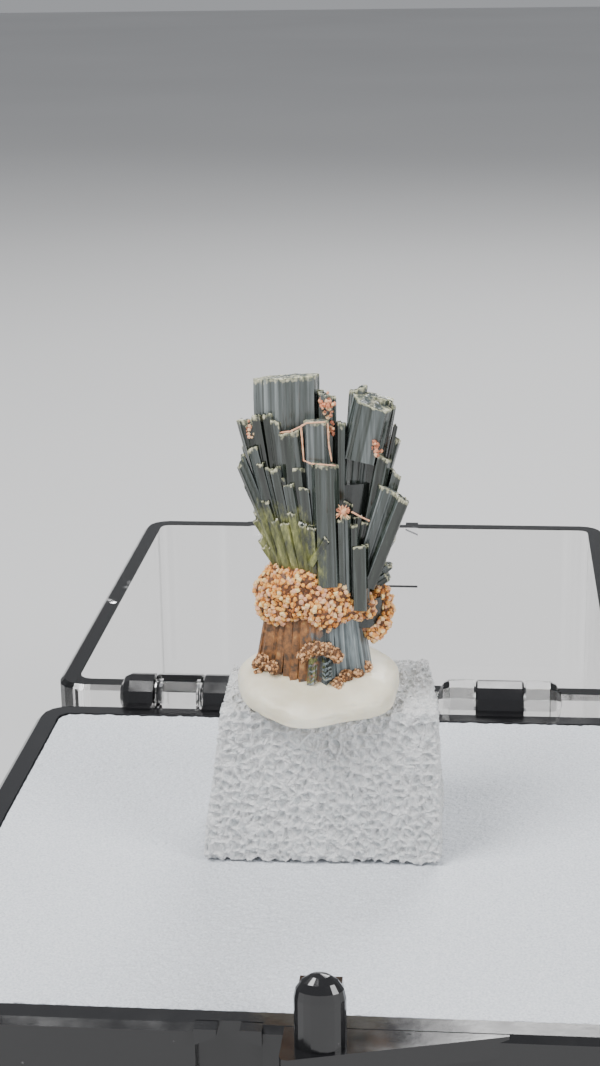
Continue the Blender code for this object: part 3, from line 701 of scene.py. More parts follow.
UPPER_CRYSTALS = (
    # Behind and right of the tall one, then the twin-topped one on the right with its overhanging front
    Crystal((0.5, 1.3, 8.0), (0.3, 1.35, 13.85), 0.7, 0.9, 10, (0.3, 0.1)),
    Crystal((1.95, 1.15, 5.0), (2.78, 1.2, 13.6), 1.95, 1.3, -3, (0.1, 0.1), 8),
    Crystal((2.3, 0.5, 10.85), (2.88, 0.5, 13.45), 1.75, 1.0, -3, (0.16, -0.35)),
    Crystal((1.75, 0.9, 8.0), (2.18, 1.0, 13.95), 0.8, 0.9, 8, (-0.35, 0.1)),
    Crystal((1.4, 0.35, 6.2), (1.48, 0.4, 12.6), 0.42, 0.8, 6, (0.2, 0.1)),
    Crystal((2.75, 0.75, 8.0), (3.68, 0.8, 13.35), 0.36, 0.55, -8, (0.6, 0.1)),
    Crystal((3.3, 0.6, 9.8), (3.83, 0.6, 12.45), 0.2, 0.2, 12, (0.5, 0.0)),
    Crystal((0.85, 0.5, 10.5), (0.86, 0.5, 13.8), 0.8, 0.75, 14, (0.25, 0.1), 7),
    # Left of the middle, in front of the tall one
    Crystal((-1.05, 0.3, 6.0), (-2.08, 0.3, 12.85), 0.56, 0.7, -14, (0.0, 0.5)),
    Crystal((-0.8, 0.2, 6.0), (-1.68, 0.14, 12.95), 0.52, 0.7, 6, (0.1, 0.4)),
    Crystal((-0.55, 0.1, 6.0), (-1.28, 0.04, 12.7), 0.5, 0.7, -8, (0.3, 0.3)),
    Crystal((-0.05, -0.05, 6.0), (-0.68, -0.15, 12.3), 1.0, 0.9, 6, (-0.12, 0.1), 8),
    Crystal((0.6, -0.15, 6.0), (0.47, -0.2, 12.8), 1.08, 1.0, -3, (0.0, 0.12)),
    Crystal((0.95, -0.55, 5.5), (0.83, -0.6, 11.0), 1.12, 0.9, 4, (0.12, 0.15)),
    # Right edge
    Crystal((2.35, 0.4, 6.0), (3.33, 0.4, 11.1), 0.7, 0.8, -6, (0.3, 0.2)),
    Crystal((2.6, 0.6, 5.6), (3.82, 0.6, 10.35), 0.6, 0.7, 10, (0.5, 0.1)),
    Crystal((2.35, 0.05, 5.6), (3.6, 0.1, 9.7), 1.1, 0.8, 0, (0.1, 0.1)),
    Crystal((2.65, -0.35, 5.4), (4.18, -0.4, 9.5), 0.66, 0.62, 12, (0.25, 0.0)),
    # Left edge
    Crystal((-1.05, 0.6, 6.0), (-2.68, 0.6, 12.6), 0.74, 0.75, 8, (0.2, 0.3)),
    Crystal((-1.15, 0.2, 6.4), (-2.86, 0.1, 10.95), 0.54, 0.5, 16, (-0.9, 0.2)),
    Crystal((-1.2, 0.2, 6.6), (-2.64, 0.2, 9.9), 0.34, 0.4, -12, (-0.6, 0.2)),
    # Short ones low down in front
    Crystal((0.2, -0.85, 6.5), (0.98, -0.98, 7.8), 0.36, 0.32, 0, (0.3, 0.0)),
    Crystal((1.52, -0.5, 5.2), (1.48, -0.72, 8.6), 0.34, 0.5, 10),
    Crystal((1.8, -0.5, 5.2), (1.76, -0.75, 8.75), 0.34, 0.5, -12),
    Crystal((2.08, -0.45, 5.0), (2.06, -0.66, 8.35), 0.34, 0.46, 8),
    Crystal((2.35, -0.45, 4.4), (2.33, -0.6, 7.4), 0.74, 0.7, -4, (-0.1, 0.2)),
)

# Needles that fill the fan: how many, first and last foot, first and last tip, width, bulge to the back
FAN_ROWS = (
    (8, ((-1.05, 0.15, 6.0), (0.3, -0.3, 6.0)), ((-2.3, 0.1, 11.3), (-0.05, -0.5, 10.3)), 0.5, 0.0),
    (6, ((-1.0, 0.45, 6.0), (0.2, 0.2, 6.0)), ((-2.45, 0.45, 12.0), (-0.35, 0.25, 11.6)), 0.62, 0.0),
    (6, ((-0.75, -0.05, 5.8), (0.35, -0.5, 5.8)), ((-1.75, -0.1, 8.9), (0.2, -0.8, 8.2)), 0.42, 0.0),
    (7, ((-1.05, 0.5, 6.4), (-0.9, 0.5, 5.2)), ((-2.6, 0.4, 9.5), (-1.75, 0.5, 6.8)), 0.38, 0.0),
    (5, ((1.6, 0.0, 5.6), (2.7, 0.2, 5.6)), ((1.75, 0.1, 9.0), (3.5, 0.2, 8.6)), 0.55, 0.0),
    (5, ((2.4, 0.6, 5.4), (2.1, 0.6, 4.6)), ((3.9, 0.6, 8.1), (3.5, 0.6, 6.1)), 0.42, 0.0),
    (9, ((-0.7, 1.2, 5.0), (1.7, 1.2, 5.0)), ((-2.45, 1.5, 11.7), (3.5, 1.5, 11.2)), 1.0, 0.75),
    (7, ((-0.5, 1.4, 5.0), (1.5, 1.4, 5.0)), ((-1.9, 1.9, 9.4), (3.2, 1.9, 9.0)), 0.9, 0.7),
)

# Lower fan: prisms that spread down all round from the waist
LOWER_FRONT = 17
LOWER_BACK = 12
LOWER_TOP_REACH = (1.9, 1.05)
LOWER_FOOT_REACH = (2.4, 1.75)
LOWER_CENTRE = (0.27, 0.5)
LOWER_TOP = 4.1
LOWER_FOOT = 0.55
LOWER_WIDTH = 0.52
STUBS = (
    Crystal((0.35, -0.9, 3.0), (0.22, -1.5, 1.2), 0.44, 0.4, 10, (0.0, -0.3)),
    Crystal((0.85, -0.9, 3.0), (0.93, -1.45, 1.4), 0.42, 0.38, -6, (0.1, -0.3)),
)

# Crust: a knobbly band round the waist, grains on it, and the bulge on its right
CRUST_CENTRE = (0.1, 0.5)
CRUST_REACH = (2.42, 1.62)
CRUST_ROUND = 26
CRUST_ROWS = 9
CRUST_KNOBS = 0.09
CRUST_TOPS = ((-2.6, 5.75), (-1.6, 6.15), (0.2, 6.2), (1.6, 5.85), (2.2, 5.0), (2.6, 4.9))
CRUST_LOWS = ((-2.6, 3.3), (-1.6, 3.2), (-0.1, 3.95), (0.85, 3.2), (2.1, 3.6), (2.6, 3.0))
BULGE_CENTRE = (2.95, 0.3, 4.0)
BULGE_REACH = (0.42, 0.5, 0.85)
BULGE_GRAINS = 11
BULGE_GRAIN = 0.42
ARCH_CENTRE = (0.6, -1.25, 2.2)
ARCH_RADIUS = 0.78
ARCH_GRAINS = 8
PATCH_GRAIN = 0.33
FOOT_PATCHES = (
    (-2.05, -0.55, 1.95), (-1.55, -0.95, 1.8), (-2.15, -0.4, 1.15), (-1.7, -0.9, 0.95), (-2.3, 0.1, 1.5),
    (1.75, -1.05, 1.45), (2.2, -0.75, 1.4), (1.35, -1.25, 1.15), (2.5, -0.3, 1.6),
)

# Grooves along a prism, its frosted rim and its broken top, and the painted highlights on its corners and end
# face
GROOVE_STEP = 0.06
GROOVE_DEPTHS = (0.0, 0.0, 0.008, 0.016, 0.03)
GROOVE_WIDTHS = (1, 1, 2, 3)
STREAK_SPREAD = 0.11
# Painted highlight: the tone added on each corner of a prism.
EDGE_SHINE = 0.16
TONE_SPREAD = 0.07
RIM_DROP = 0.03
FROST_START = 0.93
FROST_SPAN = 0.07
BREAK_SCALE = 2.3
BREAK_STEPS = 4.0
SWELL = 0.012
# Painted highlight: the tone added on the broken end face.
TOP_SHINE = 0.1
TOP_RINGS = ((0.95, 1.0), (0.8, 0.75), (0.4, 0.55))
TOP_DROP = 0.02
FINE_SEED = 9000
CORE_SIDES = 20
CORE_TONE = 0.1
CRUST_TONE = 0.12
FOOT_TONE = 0.2
THREAD_SIDES = 5
THREAD_STEP = 0.08
RINGS = (0.0, 0.2, 0.4, 0.55, 0.68, 0.78, 0.86, 0.93, 1.0)


def section(sides: int) -> list[tuple[float, float]]:
    """The outline of a prism with a wide face to the front and to the back, within one unit each way.

    Args:
        sides: How many corners it has.

    Returns:
        The corners.
    """
    points = []
    for k in range(sides):
        angle = math.tau * (k + 0.5 * (sides % 4 != 2)) / sides
        x = math.copysign(abs(math.cos(angle)) ** 0.5, math.cos(angle))
        y = math.copysign(abs(math.sin(angle)) ** 0.7, math.sin(angle))
        points.append((x, y))
    return points


def turn_of(x: float, y: float) -> float:
    """The angle of a place round the middle, from a start that no corner lies on."""
    return (math.atan2(y, x) + 0.02) % math.tau


def moss_at(x: float, z: float) -> float:
    """How mossy the fan is at a place: most at its left root.

    Args:
        x: The place's distance to the right.
        z: Its height.

    Returns:
        A value from 0 to 1.
    """
    low = min(1.0, max(0.0, (10.2 - z) / 3.6))
    left = min(1.0, max(0.15, (1.5 - x) / 1.9))
    return low * left


def grooved(corners: list, crystal: Crystal, rng: random.Random) -> list[tuple[float, float, float]]:
    """Cuts fine grooves into a prism's outline.

    Args:
        corners: The outline's corners.
        crystal: The prism.
        rng: The source of the grooves' depths.

    Returns:
        Places round the outline with the tone of the streak there, plus a painted highlight on each corner.
    """
    places = []
    half = min(crystal.width, crystal.depth) / 2
    for (u0, v0), (u1, v1) in zip(corners, corners[1:] + corners[:1]):
        span = math.hypot((u1 - u0) * crystal.width / 2, (v1 - v0) * crystal.depth / 2)
        count = max(1, round(span / GROOVE_STEP))
        inset, streak, hold = 0.0, 0.0, 0
        for j in range(count):
            share = j / count
            if hold <= 0:
                inset = rng.choice(GROOVE_DEPTHS) / half
                streak = rng.gauss(0.0, STREAK_SPREAD)
                hold = rng.choice(GROOVE_WIDTHS)
            hold -= 1
            keep = 1.0 if j == 0 else 1.0 - inset
            # Each corner gets a painted highlight.
            edge = EDGE_SHINE if j == 0 else 0.0
            u = (u0 + (u1 - u0) * share) * keep
            v = (v0 + (v1 - v0) * share) * keep
            places.append((u, v, streak + edge))
    return places


def add_prism(form: Form, crystal: Crystal, seed: int, outline: tuple | None = None, tone: float = 0.45,
              ragged: float = 0.12) -> None:
    """Adds one grooved prism with a broken, frosted top, its corners and end face painted lighter as
    highlights.

    Args:
        form: What it is added to.
        crystal: Its ends and size.
        seed: Its own seed.
        outline: Its corners, or nothing for the usual six.
        tone: Its brightness.
        ragged: How far its top is broken down, in millimetres.
    """
    rng = random.Random(seed)
    foot = Vector(crystal.foot)
    axis = Vector(crystal.tip) - foot
    length = axis.length
    axis.normalize()
    right = Vector((1.0, 0.0, 0.0))
    right = (right - right.dot(axis) * axis).normalized()
    right.rotate(Matrix.Rotation(math.radians(crystal.turn), 3, axis))
    back = axis.cross(right)
    outline = outline or section(crystal.sides)
    corners = [(u * rng.uniform(0.94, 1.06), v * rng.uniform(0.9, 1.1)) for u, v in outline]
    corners.sort(key=lambda place: turn_of(*place))
    fine = random.Random(FINE_SEED + seed)
    edge = grooved(corners, crystal, fine)
    own = tone + fine.gauss(0.0, TONE_SPREAD)

    def at(u: float, v: float, along: float) -> Vector:
        """A place by its share of the width and depth and its height along the axis."""
        return foot + axis * along + right * (u * crystal.width / 2) + back * (v * crystal.depth / 2)

    def top(u: float, v: float) -> float:
        """The height of the broken end face at a place."""
        broken = noise.noise(Vector((u * BREAK_SCALE + seed, v * BREAK_SCALE, 0.5))) * 0.5 + 0.5
        step = round(broken * BREAK_STEPS) / BREAK_STEPS
        fall = crystal.lean[0] * u * crystal.width / 2 + crystal.lean[1] * v * crystal.depth / 2
        return length - fall - ragged * step

    rings = []
    for share in RINGS:
        ring = []
        # streak holds the streak's tone and the painted corner highlight.
        for k, (u, v, streak) in enumerate(edge):
            height = top(u, v)
            along = share * (height - RIM_DROP)
            swell = 1.0 + SWELL * noise.noise(Vector((seed, k * 0.15, along * 1.4)))
            place = at(u * swell, v * swell, along)
            frost = max(0.0, (share - FROST_START) / FROST_SPAN) * fine.uniform(0.5, 1.0)
            ring.append(form.point(place, own + streak, frost, moss_at(place.x, place.z)))
        rings.append(ring)
    # The end face's rings and middle are painted lighter as a highlight.
    for keep, frost in TOP_RINGS:
        ring = []
        for u, v, _ in edge:
            drop = fine.uniform(0.0, TOP_DROP)
            place = at(u * keep, v * keep, top(u, v) - drop)
            ring.append(form.point(place, own + TOP_SHINE, frost * fine.uniform(0.6, 1.0), 0.0))
        rings.append(ring)
    for low, high in zip(rings, rings[1:]):
        for k, first in enumerate(low):
            after = (k + 1) % len(low)
            form.faces.append((first, low[after], high[after], high[k]))
    middle = form.point(at(0.0, 0.0, top(0.0, 0.0)), own + TOP_SHINE, 0.5)
    last = rings[-1]
    for k, first in enumerate(last):
        form.faces.append((first, last[(k + 1) % len(last)], middle))
    form.faces.append(tuple(reversed(rings[0])))


def between(ends: tuple, share: float) -> Vector:
    """A point at a share of the way from the first end to the second."""
    return Vector(ends[0]).lerp(Vector(ends[1]), share)


def fan_row(count: int, feet: tuple, tips: tuple, width: float, bulge: float,
            rng: random.Random) -> list[Crystal]:
    """Crystals side by side, from the first foot and tip to the last, each a little out of line.

    Args:
        count: How many there are.
        feet: The first and the last foot.
        tips: The first and the last tip.
        width: Their usual width.
        bulge: How far the row's middle lies to the back.
        rng: The source of their unevenness.

    Returns:
        The crystals.
    """
    made = []
    for k in range(count):
        share = k / (count - 1)
        foot = between(feet, share)
        tip = between(tips, share)
        tip += Vector((rng.uniform(-0.08, 0.08), rng.uniform(-0.12, 0.12), rng.uniform(-0.6, 0.6)))
        swell = bulge * math.sin(math.pi * share)
        foot.y += 0.5 * swell
        tip.y += swell
        size = width * rng.uniform(0.8, 1.2)
        lean = (rng.uniform(-0.4, 0.4), rng.uniform(-0.2, 0.4))
        made.append(Crystal(tuple(foot), tuple(tip), size, size * 1.1, rng.uniform(-20, 20), lean))
    return made


def lower_fan(rng: random.Random) -> list[Crystal]:
    """Prisms that spread down all round from the waist and end at a broken foot.

    Args:
        rng: The source of their unevenness.

    Returns:
        The crystals.
    """
    made = []
    for count, first in ((LOWER_FRONT, 180.0), (LOWER_BACK, 0.0)):
        for k in range(count):
            turn = math.radians(first + 180.0 * (k + 0.5 + rng.uniform(-0.25, 0.25)) / count)
            way = (math.cos(turn), math.sin(turn))
            out = rng.uniform(0.93, 1.05)
            foot = [c + r * w for c, r, w in zip(LOWER_CENTRE, LOWER_TOP_REACH, way)]
            tip = [c + r * w * out for c, r, w in zip(LOWER_CENTRE, LOWER_FOOT_REACH, way)]
            end = LOWER_FOOT + rng.uniform(0.0, 0.35)
            width = LOWER_WIDTH * rng.uniform(0.75, 1.25)
            lean = (rng.uniform(-0.3, 0.3), 0.0)
            made.append(Crystal((*foot, LOWER_TOP), (*tip, end), width, width, rng.uniform(-15, 15), lean))
    return made


def height_at(rule: tuple, x: float) -> float:
    """The height that a rule gives at a place, straight between its points.

    Args:
        rule: Points of distance to the right and height.
        x: The place.

    Returns:
        The height.
    """
    for (x0, z0), (x1, z1) in zip(rule, rule[1:]):
        if x < x1:
            share = max(0.0, (x - x0) / (x1 - x0))
            return z0 + (z1 - z0) * share
    return rule[-1][1]


def crust_point(turn: float, share: float, out: float) -> Vector:
    """A place on the crust.

    Args:
        turn: Its turn round the waist.
        share: Its share of the way up.
        out: How far out it lies.

    Returns:
        The place.
    """
    x = CRUST_CENTRE[0] + CRUST_REACH[0] * out * math.cos(turn)
    y = CRUST_CENTRE[1] + CRUST_REACH[1] * out * math.sin(turn)
    low = height_at(CRUST_LOWS, x)
    return Vector((x, y, low + (height_at(CRUST_TOPS, x) - low) * share))


def add_lump(form: Form, centre: Vector | tuple, size: float, rng: random.Random, tone: float) -> None:
    """Adds one angular lump.

    Args:
        form: What it is added to.
        centre: Its middle.
        size: Its radius.
        rng: The source of its shape.
        tone: Its tone.
    """
    shape = bmesh.new()
    bmesh.ops.create_icosphere(shape, subdivisions=1, radius=size)
    shape.verts.index_update()
    axis = Vector((rng.random(), rng.random(), 1.0)).normalized()
    turn = Matrix.Rotation(rng.uniform(0.0, math.tau), 3, axis)
    start = len(form.points)
    for point in shape.verts:
        form.point(turn @ (point.co * rng.uniform(0.78, 1.12)) + Vector(centre), tone)
    form.faces.extend(tuple(start + v.index for v in face.verts) for face in shape.faces)
    shape.free()


def crust_form(rng: random.Random) -> Form:
    """The knobbly band round the waist with its bulge on the right.

    Args:
        rng: The source of the bulge's unevenness.

    Returns:
        The form.
    """
    form = Form()
    shape = bmesh.new()
    bmesh.ops.create_uvsphere(shape, u_segments=CRUST_ROUND * 2, v_segments=CRUST_ROWS * 2, radius=1.0)
    shape.verts.index_update()
    for point in shape.verts:
        turn = math.atan2(point.co.y, point.co.x)
        flat = math.hypot(point.co.x, point.co.y)
        share = 0.5 + 0.5 * math.copysign(abs(point.co.z) ** 0.8, point.co.z)
        knob = CRUST_KNOBS * noise.noise(Vector((3.0 * math.cos(turn), 3.0 * math.sin(turn), 4.0 * share)))
        out = 0.0 if flat < 0.01 else flat**0.4 * (1.0 + 1.4 * knob)
        form.point(crust_point(turn, share, out), CRUST_TONE)
    form.faces.extend(tuple(v.index for v in face.verts) for face in shape.faces)
    shape.free()
    for k in range(BULGE_GRAINS):
        turn = math.tau * k / BULGE_GRAINS
        reach = (math.cos(turn), rng.uniform(-1.0, 1.0), math.sin(turn))
        centre = [c + r * w for c, r, w in zip(BULGE_CENTRE, BULGE_REACH, reach)]
        add_lump(form, centre, BULGE_GRAIN * rng.uniform(0.85, 1.1), rng, CRUST_TONE)
    return form


def foot_form(rng: random.Random) -> Form:
    """The brown arch over the foot and the patches beside it.

    Args:
        rng: The source of the lumps' shapes.

    Returns:
        The form.
    """
    form = Form()
    for k in range(ARCH_GRAINS):
        turn = math.radians(20.0 + 140.0 * k / (ARCH_GRAINS - 1))
        x = ARCH_CENTRE[0] + ARCH_RADIUS * math.cos(turn)
        z = ARCH_CENTRE[2] + 0.8 * ARCH_RADIUS * math.sin(turn)
        add_lump(form, (x, ARCH_CENTRE[1], z), 0.95 * PATCH_GRAIN, rng, FOOT_TONE)
    for centre in FOOT_PATCHES:
        add_lump(form, centre, PATCH_GRAIN, rng, FOOT_TONE)
    return form


class Scatter:
    """Small pieces strewn over a surface, each turned, sized and toned at random."""

    def __init__(self, name: str) -> None:
        """Builds the node group that strews them.

        Args:
            name: The group's name.
        """
        self.group = bpy.data.node_groups.new(name, "GeometryNodeTree")
        face = self.group.interface
        face.new_socket("Surface", in_out="INPUT", socket_type="NodeSocketGeometry")
        for label, kind in (
            ("Grain", "NodeSocketObject"), ("Density", "NodeSocketFloat"), ("Seed", "NodeSocketInt"),
            ("Least Size", "NodeSocketFloat"), ("Most Size", "NodeSocketFloat"),
            ("Finish", "NodeSocketMaterial"),
        ):
            face.new_socket(label, in_out="INPUT", socket_type=kind)
        face.new_socket("Grains", in_out="OUTPUT", socket_type="NodeSocketGeometry")
        self._wire()

    def _wire(self) -> None:
        """Wires the group's nodes."""
        new = self.group.nodes.new
        link = self.group.links.new
        given = new("NodeGroupInput").outputs
        strewn = new("GeometryNodeDistributePointsOnFaces")
        grain = new("GeometryNodeObjectInfo")
        turn = new("FunctionNodeRandomValue")
        turn.data_type = "FLOAT_VECTOR"
        size = new("FunctionNodeRandomValue")
        tone = new("FunctionNodeRandomValue")
        placed = new("GeometryNodeInstanceOnPoints")
        toned = new("GeometryNodeStoreNamedAttribute")
        toned.data_type = "FLOAT"
        toned.domain = "INSTANCE"
        real = new("GeometryNodeRealizeInstances")
        finished = new("GeometryNodeSetMaterial")
        link(given["Surface"], strewn.inputs["Mesh"])
        link(given["Density"], strewn.inputs["Density"])
        link(given["Seed"], strewn.inputs["Seed"])
        link(given["Grain"], grain.inputs["Object"])
        turn.inputs[1].default_value = (math.tau, math.tau, math.tau)
        for node in (turn, size, tone):
            link(given["Seed"], node.inputs["Seed"])
        link(given["Least Size"], size.inputs[2])
        link(given["Most Size"], size.inputs[3])
        link(strewn.outputs["Points"], placed.inputs["Points"])
        link(grain.outputs["Geometry"], placed.inputs["Instance"])
        link(turn.outputs[0], placed.inputs["Rotation"])
        link(size.outputs[1], placed.inputs["Scale"])
        link(placed.outputs["Instances"], toned.inputs["Geometry"])
        toned.inputs["Name"].default_value = "tone"
        link(tone.outputs[1], toned.inputs["Value"])
        link(toned.outputs["Geometry"], real.inputs["Geometry"])
        link(real.outputs["Geometry"], finished.inputs["Geometry"])
        link(given["Finish"], finished.inputs["Material"])
        link(finished.outputs["Geometry"], new("NodeGroupOutput").inputs["Grains"])

    def strew(self, name: str, surface: bpy.types.Mesh, grain: bpy.types.Object, density: float, seed: int,
              sizes: tuple[float, float], finish: bpy.types.Material) -> bpy.types.Mesh:
        """Strews grains over a surface.

        Args:
            name: The new mesh's name.
            surface: Where they lie.
            grain: The grain that is copied.
            density: Grains per square metre.
            seed: The fixed seed.
            sizes: The least and the most size.
            finish: Their material.

        Returns:
            The grains as one mesh.
        """
        base = bpy.data.objects.new(name, surface)
        bpy.context.scene.collection.objects.link(base)
        modifier = base.modifiers.new("strew", "NODES")
        modifier.node_group = self.group
        given = {
            "Grain": grain, "Density": density, "Seed": seed, "Least Size": sizes[0], "Most Size": sizes[1],
            "Finish": finish,
        }
        for item in self.group.interface.items_tree:
            if item.in_out == "INPUT" and item.name in given:
                modifier[item.identifier] = given[item.name]
        bpy.context.view_layer.update()
        graph = bpy.context.evaluated_depsgraph_get()
        mesh = bpy.data.meshes.new_from_object(base.evaluated_get(graph))
        mesh.name = name
        bpy.data.objects.remove(base)
        mesh.materials.clear()
        mesh.materials.append(finish)
        return mesh


def grain_object(name: str, seed: int) -> bpy.types.Object:
    """One angular grain about a millimetre in radius, which is copied and then removed.

    Args:
        name: The object's name.
        seed: The seed of its shape.

    Returns:
        The object.
    """
    rng = random.Random(seed)
    shape = bmesh.new()
    bmesh.ops.create_icosphere(shape, subdivisions=1, radius=1.0 * MM)
    for point in shape.verts:
        point.co *= rng.uniform(0.75, 1.15)
    mesh = bpy.data.meshes.new(name)
    shape.to_mesh(mesh)
    shape.free()
    made = bpy.data.objects.new(name, mesh)
    bpy.context.scene.collection.objects.link(made)
    return made


@dataclass
class CrystalGroup:
    """The epidote: upper fan, lower fan, crust and the small growths on them.

    Attributes:
        crust_density: Grains per square metre of crust.
        crust_sizes: The least and the most radius of the crust's grains, in millimetres.
        foot_density: Grains per square metre of the foot's growths.
        foot_sizes: The least and the most radius of those grains.
        star_centre: The middle of the orange star.
        star_reach: The length of its rays.
        star_rays: How many rays it has.
        patches: Each salmon patch's middle, spread to right and up, and count of lumps.
        lines: The corners of each orange line on the crystals.
        scatter: What strews the grains.
        rng: The source of the small growths' unevenness.
    """

    crust_density: float = 5.2e7
    crust_sizes: tuple[float, float] = (0.055, 0.15)
    foot_density: float = 9.0e7
    foot_sizes: tuple[float, float] = (0.035, 0.09)
    star_centre: Colour = (1.64, -1.1, 8.99)
    star_reach: float = 0.36
    star_rays: int = 15
    patches: tuple = (
        ((0.9, 0.12, 13.35), (0.17, 0.22), 46),
        ((1.1, 0.1, 12.3), (0.08, 0.16), 16),
        ((3.0, 0.02, 11.5), (0.1, 0.17), 22),
        ((-2.45, 0.15, 12.2), (0.09, 0.2), 14),
        ((1.64, -1.15, 8.99), (0.1, 0.1), 12),
    )
    lines: tuple = (
        ((-1.1, -0.25, 12.2), (-0.6, -0.6, 12.35), (-0.15, -0.7, 12.6), (0.1, -0.7, 12.75),
         (0.9, -0.7, 12.8)),
        ((-0.15, -0.68, 12.6), (-0.1, -0.66, 11.9), (-0.05, -0.66, 11.1), (0.3, -1.0, 11.05),
         (1.35, -1.05, 11.0)),
        ((0.98, -0.55, 12.7), (1.02, -0.6, 11.8), (1.15, -0.75, 11.1)),
        ((2.0, -1.0, 8.95), (2.4, -0.9, 8.7), (2.75, -0.8, 8.5)),
    )
    scatter: Scatter = field(default_factory=lambda: Scatter("strewn_grains"))
    rng: random.Random = field(default_factory=lambda: random.Random(77))

    def __post_init__(self) -> None:
        """Draws the crystals that follow a rule."""
        rng = random.Random(21)
        self.needles = [crystal for fan in FAN_ROWS for crystal in fan_row(*fan, rng)]
        self.lower = lower_fan(rng)

    def build(self) -> None:
        """Makes every piece of the group."""
        upper = self._upper()
        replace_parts(upper, "epidote")
        self._lower()
        self._crust()
        self._small_growths()

    def _upper(self) -> bpy.types.Object:
        """The upper fan."""
        form = Form()
        # The tall crystal and the wide ones get a higher tone: painted sheen, a reflection on their broad
        # faces.
        add_prism(form, TALL_CRYSTAL, 1, TALL_OUTLINE, 0.58, 0.05)
        for seed, crystal in enumerate((*UPPER_CRYSTALS, *STUBS, *self.needles), 2):
            wide = crystal.width > 0.9
            add_prism(form, crystal, seed, None, 0.52 if wide else 0.36, 0.08 if wide else 0.16)
        mesh = form.mesh("epidote_upper_fan", CrystalGreen().material())
        return piece("epidote_upper_fan", mesh)

    def _lower(self) -> None:
        """The lower fan."""
        form = Form()
        first = 2 + len(UPPER_CRYSTALS) + len(STUBS) + len(self.needles)
        for seed, crystal in enumerate(self.lower, first):
            add_prism(form, crystal, seed, None, 0.5, 0.3)
        for seed, crystal in enumerate(STUBS, 2 + len(UPPER_CRYSTALS)):
            add_prism(form, crystal, seed, None, 0.6, 0.1)
        for rock in CORES:
            add_core(form, *rock)
        piece("epidote_lower_fan", form.mesh("epidote_lower_fan", CrystalSlate().material()))

    def _crust(self) -> None:
        """The rusty crust and its grains, and the brown growths on the foot."""
        grain = grain_object("grain", 3)
        rust = RUST.material()
        brown = BROWN.material()
        band = crust_form(self.rng).mesh("epidote_crust", rust)
        piece("epidote_crust", band)
        grains = self.scatter.strew(
            "epidote_crust_grains", band.copy(), grain, self.crust_density, 4, self.crust_sizes, rust)
        piece("epidote_crust_grains", grains)
        foot = foot_form(self.rng).mesh("epidote_foot_growths", brown)
        piece("epidote_foot_growths", foot)
        crumbs = self.scatter.strew(
            "epidote_foot_grains", foot.copy(), grain, self.foot_density, 5, self.foot_sizes, brown)
        piece("epidote_foot_grains", crumbs)
        bpy.data.objects.remove(grain)

    def _small_growths(self) -> None:
        """The salmon patches, the orange star and the orange lines on the crystals' tops."""
        rng = self.rng
        salmon = Form()
        for centre, size, count in self.patches:
            for _ in range(count):
                off = Vector((rng.gauss(0.0, size[0]), rng.gauss(0.0, 0.08), rng.gauss(0.0, size[1])))
                add_lump(salmon, Vector(centre) + off, rng.uniform(0.05, 0.12), rng, rng.random())
        middle = Vector(self.star_centre)
        for k in range(self.star_rays):
            turn = math.tau * k / self.star_rays + rng.uniform(-0.2, 0.2)
            reach = self.star_reach * rng.uniform(0.6, 1.1)
            ray = Vector((math.cos(turn) * reach, rng.uniform(-0.25, 0.0), math.sin(turn) * reach))
            add_thread(salmon, [middle, middle + ray], 0.05, 0.015, rng, rng.uniform(0.4, 1.0))
        for line in self.lines:
            add_thread(salmon, [Vector(place) for place in line], 0.04, 0.03, rng, 0.7)
        mesh = salmon.mesh("epidote_orange_growths", SALMON.material())
        piece("epidote_orange_growths", mesh)


def add_core(form: Form, low: tuple, high: tuple, low_reach: tuple, high_reach: tuple) -> None:
    """Adds one oval frustum of rock inside the group.

    Args:
        form: What it is added to.
        low: The middle of its lower end.
        high: The middle of its upper end.
        low_reach: The lower end's reach to right and back.
        high_reach: The upper end's reach.
    """
    rings = []
    for end, reach in ((low, low_reach), (high, high_reach)):
        ring = []
        for k in range(CORE_SIDES):
            turn = math.tau * k / CORE_SIDES
            x = end[0] + reach[0] * math.cos(turn)
            y = end[1] + reach[1] * math.sin(turn)
            ring.append(form.point((x, y, end[2]), CORE_TONE))
        rings.append(ring)
    for k, first in enumerate(rings[0]):
        after = (k + 1) % CORE_SIDES
        form.faces.append((first, rings[0][after], rings[1][after], rings[1][k]))
    form.faces.append(tuple(reversed(rings[0])))
    form.faces.append(tuple(rings[1]))


def add_thread(form: Form, path: list[Vector], start: float, end: float, rng: random.Random,
               tone: float) -> None:
    """Adds a thin, uneven thread along a path.

    Args:
        form: What it is added to.
        path: Its corners.
        start: Its radius at the first corner.
        end: Its radius at the last corner.
        rng: The source of its unevenness.
        tone: Its tone.
    """
    places = []
    for first, second in zip(path, path[1:]):
        steps = max(2, round((second - first).length / THREAD_STEP))
        places.extend(first.lerp(second, k / steps) for k in range(steps))
    places.append(path[-1])
    rings = []
    for k, place in enumerate(places):
        ahead = places[min(k + 1, len(places) - 1)] - places[max(k - 1, 0)]
        side = ahead.cross(Vector((0.0, 1.0, 0.2))).normalized()
        up = ahead.cross(side).normalized()
        radius = (start + (end - start) * k / (len(places) - 1)) * rng.uniform(0.7, 1.3)
        ring = []
        for j in range(THREAD_SIDES):
            turn = math.tau * j / THREAD_SIDES
            out = radius * (math.cos(turn) * side + math.sin(turn) * up)
            ring.append(form.point(place + out, tone + rng.gauss(0.0, 0.08)))
        rings.append(ring)
    for low, high in zip(rings, rings[1:]):
        for k, first in enumerate(low):
            after = (k + 1) % THREAD_SIDES
            form.faces.append((first, low[after], high[after], high[k]))
    form.faces.append(tuple(reversed(rings[0])))
    form.faces.append(tuple(rings[-1]))


